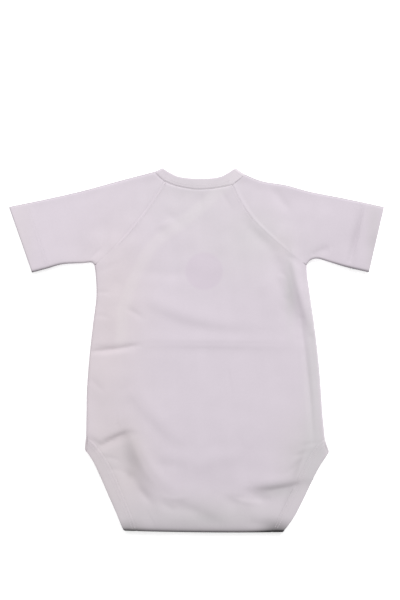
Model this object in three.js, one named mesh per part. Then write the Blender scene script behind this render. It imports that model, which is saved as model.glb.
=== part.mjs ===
// A newborn's short-sleeved raglan bodysuit, lying flat on its wrap front with its back upwards.
// Millimetres. +X is the wearer's right, +Y points to the neck, +Z is up, and the cloth lies on z = 0.
// Each sewn piece is a cloth wall of its own: a grid of mid-surface points, moved out by half the cloth
// to both sides. The pieces lie in layers, and each layer's height is a function of its place in plan.
import * as THREE from "three";

// Cloth and how it lies
const CLOTH = 1.2; // cotton interlock, one layer
const RIB = 1.8; // rib band, folded double
const HEM = 0.9; // what a turned-up sleeve hem adds inside
const HEM_WIDTH = 20;
const GAP = 0.3; // clearance between two pieces
const SLACK = 0.25; // what the back lies higher than its clearance alone
const EDGE_HEIGHT = 6; // height of a rolled side edge
const EDGE_MIDDLE = EDGE_HEIGHT / 2;
const EDGE_FADE = 6; // how far in from an edge its roll dies away
const NECK_BAND = 11;
const LEG_BAND = 14;
const CROTCH_RADIUS = 3.2; // outer radius of the fold at the crotch
const FLAP_END = -147; // how far up the front the crotch flap reaches
const FRONT_END = -180; // where the front ends inside the crotch fold
const LEG_BANDS_TOP = -80; // no leg band lies above this
const FRONT_INSET = 3.5; // how much narrower the front is cut at the legs
const UNDER_HEM = 7.6; // lower edge of the inner wrap panel
const UNDER_INSET = 3.6; // how far inside the right edge it ends under the outer panel
const CLIMB = { start: -27, end: -11 }; // where cloth rises towards an edge below it, from that edge
const ROLL_REACH = 8; // where a band starts to roll over the outline's edge
const CORNER_DROP = 2.5; // how far from its corner a slanting seam leaves the roll

// Press studs
const CAP = { radius: 4.8, height: 0.6 };
const STUD = { radius: 4, height: 0.8 };
const STUD_PLATEAU = 8; // the cloth is level this far from a stud's rim
const STUD_SLOPE = 15; // and comes down over this distance
const CROTCH_STUDS = [
  { x: -25.5, y: -160 },
  { x: 7, y: -160.5 },
  { x: 39.5, y: -160 },
];
const SIDE_STUD = { x: 86.3, y: 66.2 };

// The rolled edges of the outline, as places in plan: over each arm, across the neck band at each shoulder,
// under each arm, down each side and across the leg band at each hip. Lines across bands run on a little.
const OVERARM = {
  left: [[-196.8, 150.6], [-157, 158.8], [-119.7, 167.3], [-82, 177.6], [-44.5, 187.4]],
  right: [[196.8, 150.4], [157.5, 158.9], [119.7, 166.3], [94.5, 173.2], [69.3, 177.4], [50.9, 184.6]],
};
const SHOULDER = {
  left: [[-44.5, 187.4], [-35.7, 191.4], [-32, 193.1]],
  right: [[50.9, 184.6], [41, 191.4], [37.7, 193.7]],
};
const UNDERARM = {
  left: [[-172.6, 81.6], [-157.5, 85.6], [-141, 90.2], [-119.7, 91.4], [-110.5, 92.2], [-107.2, 89.2]],
  right: [[180.8, 81.8], [157.5, 87.2], [140, 92.4], [127, 96.2], [119.5, 94.2], [115.6, 89.6]],
};
const SIDE = {
  left: [
    [-107.2, 89.2], [-105.8, 77], [-105.2, 56], [-108.7, 27], [-112.4, -6], [-115, -40], [-115.6, -70],
    [-116, -89.5],
  ],
  right: [[115.6, 89.6], [116.4, 77], [120, 52], [125.3, 14.4], [129.4, -25], [132.2, -65], [134.9, -92.5]],
};
const HIP = {
  left: [[-116, -89.5], [-117.4, -103.8], [-118, -110]],
  right: [[134.9, -92.5], [139.2, -106.3], [141, -112]],
};

// Raglan seams, from the neck to the armpit
const RAGLAN = {
  left: [[-33.7, 177.3], [-51, 151], [-69.8, 127.2], [-88, 107.5], [-107.2, 89.2]],
  right: [[38.3, 174], [46.4, 157.4], [61, 136], [82, 115.8], [99.5, 101], [115.6, 89.6]],
};

// Bands, as rows of the sewn edge and the free edge: [seam x, seam y, free x, free y]
const BACK_NECK = [
  [-44.5, 187.4, -35.7, 191.4], [-33.7, 177.3, -30.6, 188], [-20, 172.2, -19.5, 182.6],
  [-2.3, 169, -5, 180.5], [14, 169.4, 13, 180.5], [28.5, 171.6, 25.5, 182.4], [38.3, 174, 34, 186.8],
  [50.9, 184.6, 41, 191.4],
];
const OVER_NECK = [
  [-44.5, 187.4, -35.7, 191.4], [-33.7, 177.3, -25, 182.6], [-5.5, 147.5, 2, 155.2],
  [27, 113.5, 34.6, 121.2], [62, 80, 69.2, 88], [92, 54.5, 98.8, 63.2], [123.1, 31, 120.8, 46.5],
];
const UNDER_NECK = [
  [50.9, 184.6, 41, 191.4], [38.3, 174, 29.5, 180.6], [14, 151.5, 6.5, 159.5], [-10, 131, -17.2, 139.4],
  [-37.5, 110.5, -46.5, 117.6], [-53.5, 87, -63.8, 91.5], [-64.2, 64, -75, 67.4],
  [-71.8, 40, -82.8, 41.4], [-74, 7.6, -85, 7.6],
];
// Below the crotch fold the rows run on as if the cloth were not folded.
const BACK_LEG = {
  left: [
    [-116, -89.5, -117.4, -103.8], [-107, -98.5, -112, -111], [-98.5, -109, -107, -119.5],
    [-91, -121, -102.5, -129], [-85, -133.5, -98, -139], [-78.5, -148.5, -91.8, -153.5],
    [-71.2, -166, -84.8, -169.5], [-64.5, -182, -78.5, -184.8], [-62, -190, -76.2, -190],
    [-61, -199, -75, -199], [-57, -238, -71, -238],
  ],
  right: [
    [134.9, -92.5, 139.2, -106.3], [125.5, -100.5, 134.6, -113.5], [118.5, -110.5, 129.6, -121],
    [112, -122.5, 124, -131.5], [106, -135, 117.8, -144.5], [98, -151.5, 110.3, -160],
    [90, -167.5, 102.6, -174.5], [83, -181, 96, -184], [79, -190, 91.5, -190],
    [77, -199, 89, -199], [72.5, -238, 85.5, -238],
  ],
};

// Height of the back's middle surface down the middle of the garment, before folds
const DRAPE = [
  { y: 195, height: 3.1 }, { y: 150, height: 3.5 }, { y: 60, height: 3.7 }, { y: 8, height: 3.7 },
  { y: -40, height: 4 }, { y: -100, height: 4.5 }, { y: -145, height: 4.3 }, { y: -192, height: 4.7 },
];
// Broad swellings of the back: centre, half sizes and height
const SWELLINGS = [
  { name: "seat", x: 20, y: -96, across: 68, along: 50, height: 1.1 },
  { name: "right chest", x: 74, y: 66, across: 34, along: 46, height: 1.7 },
  { name: "left waist", x: -62, y: -30, across: 30, along: 40, height: 0.4 },
];
// The largest folds of the back. Each is a bowed line through three places in plan, with its half widths
// above and below the line and its height, minus for a trough.
const FOLDS = [
  { name: "waist crease", line: [[-62, 8.4], [20, 8.2], [112, 7.2]], above: 9, below: 4.5, height: 0.9 },
  { name: "waist pinch", line: [[-112, 1.2], [-90, 2.2], [-66, 5.2]], above: 3, below: 4, height: -1.5 },
  { name: "rib fold", line: [[-70, 62], [-28, 32], [58, 27]], above: 14, below: 7, height: 1.5 },
  { name: "chest trough", line: [[-60, 81], [-38, 79], [-14, 80]], above: 6, below: 6, height: -0.5 },
  { name: "armpit trough", line: [[88, 96], [96, 68], [115, 14]], above: 8, below: 7, height: -2.3 },
  { name: "hip fold", line: [[-72, -36], [-54, -66], [-22, -92]], above: 11, below: 7, height: 0.9 },
  { name: "seat smile", line: [[-44, -104], [6, -134], [54, -98]], above: 12, below: 10, height: 0.9 },
  { name: "left hip crease", line: [[-98, -98], [-86, -84], [-66, -83]], above: 5, below: 4, height: -1.8 },
  { name: "left leg hollow", line: [[-76, -96], [-70, -130], [-48, -162]], above: 9, below: 9, height: -2.4 },
  { name: "left leg ridge", line: [[-62, -84], [-54, -126], [-20, -150]], above: 7, below: 7, height: 1.1 },
  { name: "right leg hollow", line: [[52, -150], [78, -150], [102, -141]], above: 7, below: 6, height: -2.6 },
  { name: "flap hollow", line: [[-24, -170], [0, -173], [22, -176]], above: 7, below: 7, height: -0.7 },
  { name: "sleeve crease", line: [[166, 152], [161, 124], [157, 92]], above: 4, below: 4, height: -1 },
  { name: "shoulder streak", line: [[83, 172], [90, 160], [97, 148]], above: 5, below: 5, height: -0.9 },
  { name: "right underarm", line: [[120, 98], [130, 104], [140, 108]], above: 4, below: 5, height: -1.1 },
];

// Plain arithmetic
const mix = (a, b, f) => a + (b - a) * f;
const limit = (v, low, high) => Math.min(high, Math.max(low, v));
function step(from, to, v) {
  const f = limit((v - from) / (to - from), 0, 1);
  return f * f * (3 - 2 * f);
}
function softMax(a, b, softness = 0.5) {
  return 0.5 * (a + b + Math.hypot(a - b, softness));
}

// A smooth line through rows of numbers, as closely spaced rows.
function smoothLine(rows, perSpan = 6) {
  const line = [];
  for (let i = 0; i < rows.length - 1; i++) {
    const a = rows[Math.max(i - 1, 0)];
    const b = rows[i];
    const c = rows[i + 1];
    const d = rows[Math.min(i + 2, rows.length - 1)];
    for (let k = 0; k < perSpan; k++) {
      const f = k / perSpan;
      line.push(
        b.map((v, n) => {
          const bend = 2 * a[n] - 5 * v + 4 * c[n] - d[n];
          const twist = 3 * (v - c[n]) + d[n] - a[n];
          return v + 0.5 * f * (c[n] - a[n] + f * (bend + f * twist));
        }),
      );
    }
  }
  line.push(rows[rows.length - 1]);
  return line;
}
function lengths(line) {
  const sums = [0];
  for (let i = 1; i < line.length; i++) {
    sums.push(sums[i - 1] + Math.hypot(line[i][0] - line[i - 1][0], line[i][1] - line[i - 1][1]));
  }
  return sums;
}
// The row of a line at a length along it.
function rowAt(line, sums, length) {
  let i = 1;
  while (i < line.length - 1 && sums[i] < length) i++;
  const f = limit((length - sums[i - 1]) / (sums[i] - sums[i - 1]), 0, 1);
  return line[i - 1].map((v, n) => mix(v, line[i][n], f));
}
// Where a falling line crosses a height y: the share of its length, and its row there.
function crossing(line, y, column = 1) {
  let i = 1;
  while (i < line.length - 1 && line[i][column] > y) i++;
  const f = limit((y - line[i - 1][column]) / (line[i][column] - line[i - 1][column]), -1, 1);
  return line[i - 1].map((v, n) => mix(v, line[i][n], f));
}
const xAt = (line, y) => crossing(line, y)[0];

// The nearest point of a line: its distance, the side that the place lies on, and how far along it is.
function nearest(line, x, y) {
  let best = { distance: Infinity, side: 1 };
  for (let i = 1; i < line.length; i++) {
    const [ax, ay] = line[i - 1];
    const dx = line[i][0] - ax;
    const dy = line[i][1] - ay;
    const f = limit(((x - ax) * dx + (y - ay) * dy) / (dx * dx + dy * dy), 0, 1);
    const ox = x - ax - f * dx;
    const oy = y - ay - f * dy;
    const distance = Math.hypot(ox, oy);
    if (distance >= best.distance) continue;
    best = { distance, side: dx * oy - dy * ox >= 0 ? 1 : -1, share: (i - 1 + f) / (line.length - 1) };
  }
  return best;
}

// A line moved sideways, to the left of its own direction.
function movedAside(line, distance) {
  return line.map(([x, y], i) => {
    const a = line[Math.max(i - 1, 0)];
    const b = line[Math.min(i + 1, line.length - 1)];
    const length = Math.hypot(b[0] - a[0], b[1] - a[1]);
    return [x - (distance * (b[1] - a[1])) / length, y + (distance * (b[0] - a[0])) / length];
  });
}

const HANDS = ["left", "right"];
const SIGN = { left: 1, right: -1 };
const HALF = GAP / 2;
const bothHands = (make) => ({ left: make("left"), right: make("right") });
const sides = bothHands((hand) => smoothLine(SIDE[hand]));
const overarms = bothHands((hand) => smoothLine(OVERARM[hand]));
const underarms = bothHands((hand) => smoothLine(UNDERARM[hand]));
const raglans = bothHands((hand) => smoothLine(RAGLAN[hand]));
const bodyRaglans = bothHands((hand) => movedAside(raglans[hand], SIGN[hand] * HALF));
const sleeveRaglans = bothHands((hand) => movedAside(raglans[hand], -SIGN[hand] * HALF));
const rolledEdges = HANDS.flatMap((hand) => [
  overarms[hand],
  SHOULDER[hand],
  underarms[hand],
  sides[hand],
  HIP[hand],
]);

// Bands: the rows between the first and the last are smoothed, and a corner stays a corner.
const backNeck = [BACK_NECK[0], ...smoothLine(BACK_NECK.slice(1, -1)), BACK_NECK[BACK_NECK.length - 1]];
const overNeck = [OVER_NECK[0], ...smoothLine(OVER_NECK.slice(1))];
const underNeck = [UNDER_NECK[0], ...smoothLine(UNDER_NECK.slice(1))];
const backLegs = bothHands((hand) => smoothLine(BACK_LEG[hand]));
// The front is cut narrower at the legs, from the hip down.
const frontLegs = bothHands((hand) =>
  backLegs[hand].filter((row) => row[1] > FRONT_END - 6).map((row) => {
    const inset = SIGN[hand] * FRONT_INSET * step(-98, -128, row[1]);
    return [row[0] + inset, row[1], row[2] + inset, row[3]];
  }),
);
const seamEdge = (rows) => rows.map(([x, y]) => [x, y]);
const freeEdge = (rows) => rows.map(([, , x, y]) => [x, y]);
const overFree = freeEdge(overNeck);
const underFree = freeEdge(underNeck);
const backNeckFree = freeEdge(backNeck);
const legFree = bothHands((hand) => freeEdge(backLegs[hand]).filter((p) => p[1] > -190));

// Distance from the nearest rolled edge, and the level way out to it.
const edgeDistance = (x, y) => Math.min(...rolledEdges.map((line) => nearest(line, x, y).distance));
function wayOut(x, y) {
  const s = 0.05;
  const gx = edgeDistance(x - s, y) - edgeDistance(x + s, y);
  const gy = edgeDistance(x, y - s) - edgeDistance(x, y + s);
  return new THREE.Vector3(gx, gy, 0).normalize();
}
// How far a rolled edge has opened out at a distance inside it: 0 at its outermost point, 1 where it is flat.
function opened(distance, cloth) {
  const f = limit((distance - cloth / 2) / (EDGE_MIDDLE - cloth / 2), 0, 1);
  return Math.sqrt(1 - (1 - f) * (1 - f));
}

// Signed distance inside the free edge of each wrap panel.
function insideOver(x, y) {
  const n = nearest(overFree, x, y);
  return -n.side * n.distance;
}
function insideUnder(x, y) {
  const n = nearest(underFree, x, y);
  return n.side * n.distance;
}
// 1 on a band and 0 well away from it, from the distance to its free edge
const onBand = (width, distance) => 1 - step(width + 1, width + 6, distance);
const nearer = (lines, x, y) => Math.min(...HANDS.map((hand) => nearest(lines[hand], x, y).distance));
const legBandShare = (x, y) => (y > LEG_BANDS_TOP ? 0 : onBand(LEG_BAND, nearer(legFree, x, y)));
const cuffs = bothHands((hand) => [UNDERARM[hand][0], OVERARM[hand][0]]);
const hemShare = (x, y) => onBand(HEM_WIDTH, nearer(cuffs, x, y));

const plateau = (distance) => 1 - step(STUD_PLATEAU, STUD_PLATEAU + STUD_SLOPE, distance - CAP.radius);
const sideRise = (x, y) => plateau(Math.hypot(x - SIDE_STUD.x, y - SIDE_STUD.y));
// The crotch studs share one low ridge.
function crotchRise(x, y) {
  const [first, , last] = CROTCH_STUDS;
  const beyond = Math.max(first.x - x, x - last.x, 0);
  return plateau(beyond) * (1 - step(CAP.radius + 2, CAP.radius + 9, Math.abs(y - first.y)));
}

// Undersides of the lower layers, above the floor. A cap lifts the layer over it, and a stud the next one.
const CAP_LIFT = CAP.height + GAP;
const STUD_LIFT = STUD.height + GAP;
const RIB_EXTRA = RIB - CLOTH;
const flapBase = (x, y) => CAP_LIFT * crotchRise(x, y);
function overBase(x, y) {
  const flap = (RIB + GAP) * step(FLAP_END + 13, FLAP_END + 2, y);
  const studs = (CAP_LIFT + CLOTH + GAP + STUD_LIFT - RIB - GAP) * crotchRise(x, y);
  return flap + studs + CAP_LIFT * sideRise(x, y);
}
function underBase(x, y) {
  const inside = insideOver(x, y);
  const over = CLOTH + GAP + SLACK / 2 + RIB_EXTRA * onBand(NECK_BAND, inside);
  return over * step(CLIMB.start, CLIMB.end, inside) + (CAP_LIFT + STUD_LIFT) * sideRise(x, y);
}

// Top of everything that lies below the back.
function lowerTop(x, y) {
  const inOver = insideOver(x, y);
  const inUnder = insideUnder(x, y);
  const hem = HEM * hemShare(x, y);
  const overCloth = step(CLIMB.start, CLIMB.end, inOver) * (CLOTH + RIB_EXTRA * onBand(NECK_BAND, inOver));
  const over = overBase(x, y) + overCloth + RIB_EXTRA * legBandShare(x, y) + hem;
  const under = underBase(x, y) + CLOTH + RIB_EXTRA * onBand(NECK_BAND, inUnder) + hem;
  const covered = step(CLIMB.start, CLIMB.end, inUnder) * step(UNDER_HEM - 16, UNDER_HEM - 6, y);
  return mix(over, Math.max(over, under), covered);
}

const bell = (v) => Math.exp(-v * v);
const evenly = (from, to, pieces) => Array.from({ length: pieces + 1 }, (_, k) => mix(from, to, k / pieces));
// Folds with their lines bowed. A fold whose line runs to the left has its upper side on the other hand.
const folds = FOLDS.map((fold) => {
  const [from, by, to] = fold.line;
  const bowed = (f) => [0, 1].map((n) => mix(mix(from[n], by[n], f), mix(by[n], to[n], f), f));
  return { ...fold, line: evenly(0, 1, 14).map(bowed), turn: to[0] >= from[0] ? 1 : -1 };
});
// One fold's height at a place: full along its middle, dying away at its ends and to its sides.
function foldHeight(fold, x, y) {
  const n = nearest(fold.line, x, y);
  const width = n.side * fold.turn > 0 ? fold.above : fold.below;
  const ends = Math.sin(Math.PI * limit(n.share, 0.04, 0.96)) ** 0.6;
  return fold.height * ends * bell(n.distance / width);
}
function tableAt(rows, key, value, at) {
  let i = 1;
  while (i < rows.length - 1 && rows[i][key] > at) i++;
  return mix(rows[i - 1][value], rows[i][value], step(rows[i - 1][key], rows[i][key], at));
}
// The shape that the back and the sleeves take where nothing below pushes them up.
function drape(x, y) {
  let height = tableAt(DRAPE, "y", "height", y);
  for (const s of SWELLINGS) height += s.height * bell((x - s.x) / s.across) * bell((y - s.y) / s.along);
  for (const fold of folds) height += foldHeight(fold, x, y);
  return height;
}
// Middle surface of the topmost cloth, rolled edges left out.
function topLevel(x, y) {
  const neckShare = onBand(NECK_BAND, nearest(backNeckFree, x, y).distance);
  const cloth = CLOTH + RIB_EXTRA * Math.max(legBandShare(x, y), neckShare);
  const resting = lowerTop(x, y) + GAP + SLACK + cloth / 2 + HEM * hemShare(x, y);
  const inner = softMax(resting, drape(x, y));
  const edge = bell(Math.max(edgeDistance(x, y) - EDGE_MIDDLE, 0) / EDGE_FADE);
  return Math.max(mix(inner, Math.max(inner, EDGE_HEIGHT - CLOTH / 2), edge), resting);
}
// A level brought down or up to the middle of the roll near the outline's edge.
function rolled(level, x, y, cloth) {
  const rim = EDGE_MIDDLE + Math.sign(level - EDGE_MIDDLE) * HALF;
  return mix(rim, level, opened(edgeDistance(x, y), cloth));
}

// The layers: each turns a place in plan into a point of a middle surface.
const foldLine = (x) => -191.5 + 1.8 * ((x - 38) / 110) ** 2;
const LAYERS = {
  // The back runs over the crotch fold and on as the flap.
  back(x, y, cloth) {
    const start = foldLine(x) + CROTCH_RADIUS;
    if (y >= start) return new THREE.Vector3(x, y, rolled(topLevel(x, y), x, y, cloth));
    const radius = CROTCH_RADIUS - cloth / 2;
    const turn = (start - y) / radius;
    const top = topLevel(x, start);
    if (turn <= Math.PI) {
      const middle = (top + cloth / 2) / 2;
      return new THREE.Vector3(x, start - radius * Math.sin(turn), middle + (top - middle) * Math.cos(turn));
    }
    const flapY = start + (turn - Math.PI) * radius;
    return new THREE.Vector3(x, flapY, cloth / 2 + flapBase(x, flapY));
  },
  over: (x, y, cloth) => new THREE.Vector3(x, y, rolled(overBase(x, y) + cloth / 2, x, y, cloth)),
  under: (x, y, cloth) => new THREE.Vector3(x, y, rolled(underBase(x, y) + cloth / 2, x, y, cloth)),
};

// A closed wall around a grid of middle-surface points, thicker by its lining on the inner side.
// A grid whose rows close on themselves makes a tube. At a rolled edge the wall's end faces down or up.
function wall(grid, { cloth = CLOTH, closed = false, lining = () => 0, facing = 1 } = {}) {
  const rows = grid.length;
  const columns = grid[0].length;
  const positions = [];
  const faces = [];
  const at = (i, j) => {
    const column = closed ? (j + columns) % columns : limit(j, 0, columns - 1);
    return grid[limit(i, 0, rows - 1)][column];
  };
  const normalAt = (i, j) => {
    const along = at(i + 1, j).clone().sub(at(i - 1, j));
    const across = at(i, j + 1).clone().sub(at(i, j - 1));
    const normal = along.cross(across).normalize().multiplyScalar(facing);
    const p = at(i, j);
    const onRim = !closed && (i === 0 || j === 0 || i === rows - 1 || j === columns - 1);
    if (!onRim || edgeDistance(p.x, p.y) > cloth / 2 + 0.4) return normal;
    const out = wayOut(p.x, p.y);
    return out.multiplyScalar(out.dot(normal) < 0 ? -1 : 1);
  };
  for (const side of [1, -1]) {
    for (let i = 0; i < rows; i++) {
      for (let j = 0; j < columns; j++) {
        const p = at(i, j);
        const offset = side > 0 ? cloth / 2 : -cloth / 2 - lining(p.x, p.y);
        positions.push(...p.clone().addScaledVector(normalAt(i, j), offset).toArray());
      }
    }
  }
  const index = (i, j, side) => (side > 0 ? 0 : rows * columns) + i * columns + (j % columns);
  const quad = (a, b, c, d) => (facing > 0 ? faces.push(a, b, c, a, c, d) : faces.push(a, c, b, a, d, c));
  const spans = closed ? columns : columns - 1;
  const last = rows - 1;
  const right = columns - 1;
  for (let i = 0; i < rows - 1; i++) {
    for (let j = 0; j < spans; j++) {
      quad(index(i, j, 1), index(i + 1, j, 1), index(i + 1, j + 1, 1), index(i, j + 1, 1));
      quad(index(i, j, -1), index(i, j + 1, -1), index(i + 1, j + 1, -1), index(i + 1, j, -1));
    }
  }
  for (let j = 0; j < spans; j++) {
    quad(index(0, j, -1), index(0, j, 1), index(0, j + 1, 1), index(0, j + 1, -1));
    quad(index(last, j, 1), index(last, j, -1), index(last, j + 1, -1), index(last, j + 1, 1));
  }
  if (!closed) {
    for (let i = 0; i < rows - 1; i++) {
      quad(index(i, 0, 1), index(i, 0, -1), index(i + 1, 0, -1), index(i + 1, 0, 1));
      quad(index(i, right, -1), index(i, right, 1), index(i + 1, right, 1), index(i + 1, right, -1));
    }
  }
  return new THREE.BufferGeometry()
    .setAttribute("position", new THREE.Float32BufferAttribute(positions, 3))
    .setIndex(faces);
}

// Distances in from a rolled edge at which its quarter turn is cut into equal parts.
function rollSteps(cloth) {
  const radius = EDGE_MIDDLE - cloth / 2;
  return [0, 1, 2, 3].map((k) => cloth / 2 + radius * (1 - Math.cos((k * Math.PI) / 6)));
}
// Places across a width: close together at both ends, and even between them.
function across(width, pieces, rolledFirst, rolledLast) {
  const squeeze = Math.min(1, width / 18);
  const stepsAt = (isRolled) => rollSteps(CLOTH).map((d) => squeeze * (d - (isRolled ? 0 : CLOTH / 2)));
  const ends = [stepsAt(rolledFirst), stepsAt(rolledLast)];
  const between = evenly(ends[0][3], width - ends[1][3], pieces).slice(1, -1);
  return [...ends[0], ...between, ...ends[1].map((d) => width - d).reverse()];
}

// A body panel from rows that each have a left and a right end, either of them rolled or sewn.
// The first row can be bowed to follow a seam; the rows below straighten out.
function panel(rows, layer, pieces, bow = () => 0) {
  const grid = rows.map(({ left, right, rolledLeft = false, rolledRight = false, bowed = 0 }) => {
    const width = right[0] - left[0];
    return across(width, pieces, rolledLeft, rolledRight).map((d) => {
      const f = d / width;
      return layer(left[0] + d, mix(left[1], right[1], f) + bow(f) * bowed, CLOTH);
    });
  });
  return wall(grid);
}

// Heights at which a back leg band and the panel beside it have their rows, from the hip to the flap's end.
function backLegLevels(hand, cloth) {
  const foldStart = foldLine(10) + CROTCH_RADIUS;
  const turned = foldStart - (CROTCH_RADIUS - cloth / 2) * Math.PI;
  return [
    ...evenly(BACK_LEG[hand][0][1], foldStart, 9).slice(1),
    ...evenly(foldStart, turned, 5).slice(1),
    ...evenly(turned, turned + foldStart - FLAP_END, 4).slice(1),
  ];
}
const frontLegLevels = (hand) => evenly(BACK_LEG[hand][0][1], FRONT_END, 10).slice(1);

function backPanel() {
  const rows = [];
  const neck = backNeck.slice(1, -1);
  const armpit = bothHands((hand) => SIDE[hand][0][1]);
  for (const f of evenly(0, 1, 9).slice(0, -1)) {
    const yLeft = mix(neck[0][1], armpit.left, f) - GAP * (1 - f);
    const yRight = mix(neck[neck.length - 1][1], armpit.right, f) - GAP * (1 - f);
    const left = [xAt(bodyRaglans.left, yLeft), yLeft];
    const right = [xAt(bodyRaglans.right, yRight), yRight];
    rows.push({ left, right, bowed: (1 - f) ** 3 });
  }
  for (const f of evenly(0, 1, 16)) {
    const yLeft = mix(armpit.left, BACK_LEG.left[0][1], f);
    const yRight = mix(armpit.right, BACK_LEG.right[0][1], f);
    const left = [xAt(sides.left, yLeft), yLeft];
    const right = [xAt(sides.right, yRight), yRight];
    rows.push({ left, right, rolledLeft: true, rolledRight: true });
  }
  const levels = bothHands((hand) => [BACK_LEG[hand][0][1] - CORNER_DROP, ...backLegLevels(hand, CLOTH)]);
  levels.left.forEach((yLeft, i) => {
    const yRight = levels.right[i];
    const gap = i === 0 ? 3 * GAP : GAP;
    const left = [xAt(backLegs.left, yLeft) + gap, yLeft];
    const right = [xAt(backLegs.right, yRight) - gap, yRight];
    rows.push({ left, right });
  });
  const neckBow = (f) => {
    const x = mix(rows[0].left[0], rows[0].right[0], f);
    const along = neck.map(([sx, sy]) => [sy, -sx]);
    return crossing(along, -x)[0] - GAP - mix(rows[0].left[1], rows[0].right[1], f);
  };
  return panel(rows, LAYERS.back, 18, neckBow);
}

// The outer wrap panel: from the wearer's left shoulder across to the right side and down to the crotch.
function frontOverPanel() {
  const tip = 176;
  const corner = OVER_NECK[OVER_NECK.length - 1][1] - GAP;
  const armpit = SIDE.left[0][1];
  const hips = bothHands((hand) => BACK_LEG[hand][0][1]);
  const diagonal = movedAside(seamEdge(overNeck.slice(1)), -GAP);
  const rows = [];
  for (const y of [...evenly(tip, armpit, 8).slice(0, -1), ...evenly(armpit, corner + CORNER_DROP, 6)]) {
    const aboveArmpit = y > armpit + 0.01;
    const left = [xAt(aboveArmpit ? bodyRaglans.left : sides.left, y), y];
    rows.push({ left, right: [xAt(diagonal, y), y], rolledLeft: !aboveArmpit });
  }
  for (const f of evenly(0, 1, 8)) {
    const yLeft = mix(corner, hips.left, f);
    const yRight = mix(corner, hips.right, f);
    const left = [xAt(sides.left, yLeft), yLeft];
    const right = [xAt(sides.right, yRight), yRight];
    rows.push({ left, right, rolledLeft: true, rolledRight: true });
  }
  const levels = bothHands((hand) => [hips[hand] - CORNER_DROP, ...frontLegLevels(hand)]);
  levels.left.forEach((yLeft, i) => {
    const yRight = levels.right[i];
    const gap = i === 0 ? 3 * GAP : GAP;
    const left = [xAt(frontLegs.left, yLeft) + gap, yLeft];
    const right = [xAt(frontLegs.right, yRight) - gap, yRight];
    rows.push({ left, right });
  });
  return panel(rows, LAYERS.over, 10);
}

// The inner wrap panel. Below the outer panel's edge it ends inside the roll of the right side.
function frontUnderPanel() {
  const tip = 172.6;
  const armpit = SIDE.right[0][1];
  const diagonal = movedAside(seamEdge(underNeck.slice(1)), GAP);
  const rows = [];
  for (const y of [...evenly(tip, armpit, 8).slice(0, -1), ...evenly(armpit, UNDER_HEM, 9)]) {
    const aboveArmpit = y > armpit + 0.01;
    const inset = Math.max(UNDER_INSET * step(60, 47, y), GAP);
    const right = [xAt(aboveArmpit ? bodyRaglans.right : sides.right, y) - inset, y];
    rows.push({ left: [xAt(diagonal, y), y], right, rolledRight: !aboveArmpit });
  }
  return panel(rows, LAYERS.under, 13);
}

// The point of a line at a share of its length.
function shareOf(line) {
  const sums = lengths(line);
  return (f) => rowAt(line, sums, f * sums[sums.length - 1]);
}

// A sleeve: a tube whose upper half lies on its lower half, from the raglan seam to the cuff.
function sleeve(hand) {
  const seamLine = [OVERARM[hand][OVERARM[hand].length - 1], ...sleeveRaglans[hand]];
  const seamLengths = lengths(seamLine);
  const corner = seamLengths[1] / seamLengths[seamLengths.length - 1];
  const seam = shareOf(seamLine);
  const over = shareOf([...overarms[hand]].reverse());
  const under = shareOf([...underarms[hand]].reverse());
  const cuff = shareOf([OVERARM[hand][0], UNDERARM[hand][0]]);
  const place = (u, v) =>
    [0, 1].map((n) => {
      const between = mix(seam(u)[n], cuff(u)[n], v) + mix(over(v)[n], under(v)[n], u);
      return between - mix(mix(seam(0)[n], cuff(0)[n], v), mix(seam(1)[n], cuff(1)[n], v), u);
    });
  const grid = evenly(0, 1, 14).map((v) => {
    const width = Math.hypot(over(v)[0] - under(v)[0], over(v)[1] - under(v)[1]);
    const probe = 5 / width;
    const first = rollSteps(CLOTH).map((d) => (d * probe) / edgeDistance(...place(probe, v)));
    const last = rollSteps(CLOTH).map((d) => 1 - (d * probe) / edgeDistance(...place(1 - probe, v)));
    const shares = [...first, corner, ...evenly(corner, last[3], 8).slice(1, -1), ...last.reverse()];
    const upper = shares.map((u) => {
      const [x, y] = place(u, v);
      return new THREE.Vector3(x, y, rolled(topLevel(x, y), x, y, CLOTH));
    });
    const lower = upper.map(({ x, y }) => new THREE.Vector3(x, y, rolled(CLOTH / 2, x, y, CLOTH)));
    upper[0].z = EDGE_MIDDLE;
    upper[upper.length - 1].z = EDGE_MIDDLE;
    return [...upper, ...lower.slice(1, -1).reverse()];
  });
  const hem = (x, y) => HEM * hemShare(x, y);
  return wall(grid, { closed: true, lining: hem, facing: SIGN[hand] });
}

// A band: rows of a sewn and a free edge. At an end row that is given, it rolls over the outline's edge.
function band(rows, layer, { first, last } = {}) {
  const rollRows = (end, next) => {
    const [sx, sy, fx, fy] = end;
    const length = Math.hypot(fx - sx, fy - sy);
    const away = (x, y) => Math.abs((fx - sx) * (y - sy) - (fy - sy) * (x - sx)) / length;
    const reach = [away(next[0], next[1]), away(next[2], next[3])];
    return rollSteps(RIB).map((d) => end.map((v, n) => mix(v, next[n], d / reach[n < 2 ? 0 : 1])));
  };
  const starting = first ? rollRows(first, rows[0]) : [];
  const ending = last ? rollRows(last, rows[rows.length - 1]).reverse() : [];
  const grid = [...starting, ...rows, ...ending].map(([sx, sy, fx, fy]) => {
    const seamShare = HALF / Math.hypot(fx - sx, fy - sy);
    return [seamShare, 0.5, 1].map((f) => layer(mix(sx, fx, f), mix(sy, fy, f), RIB));
  });
  return wall(grid, { cloth: RIB });
}
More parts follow.
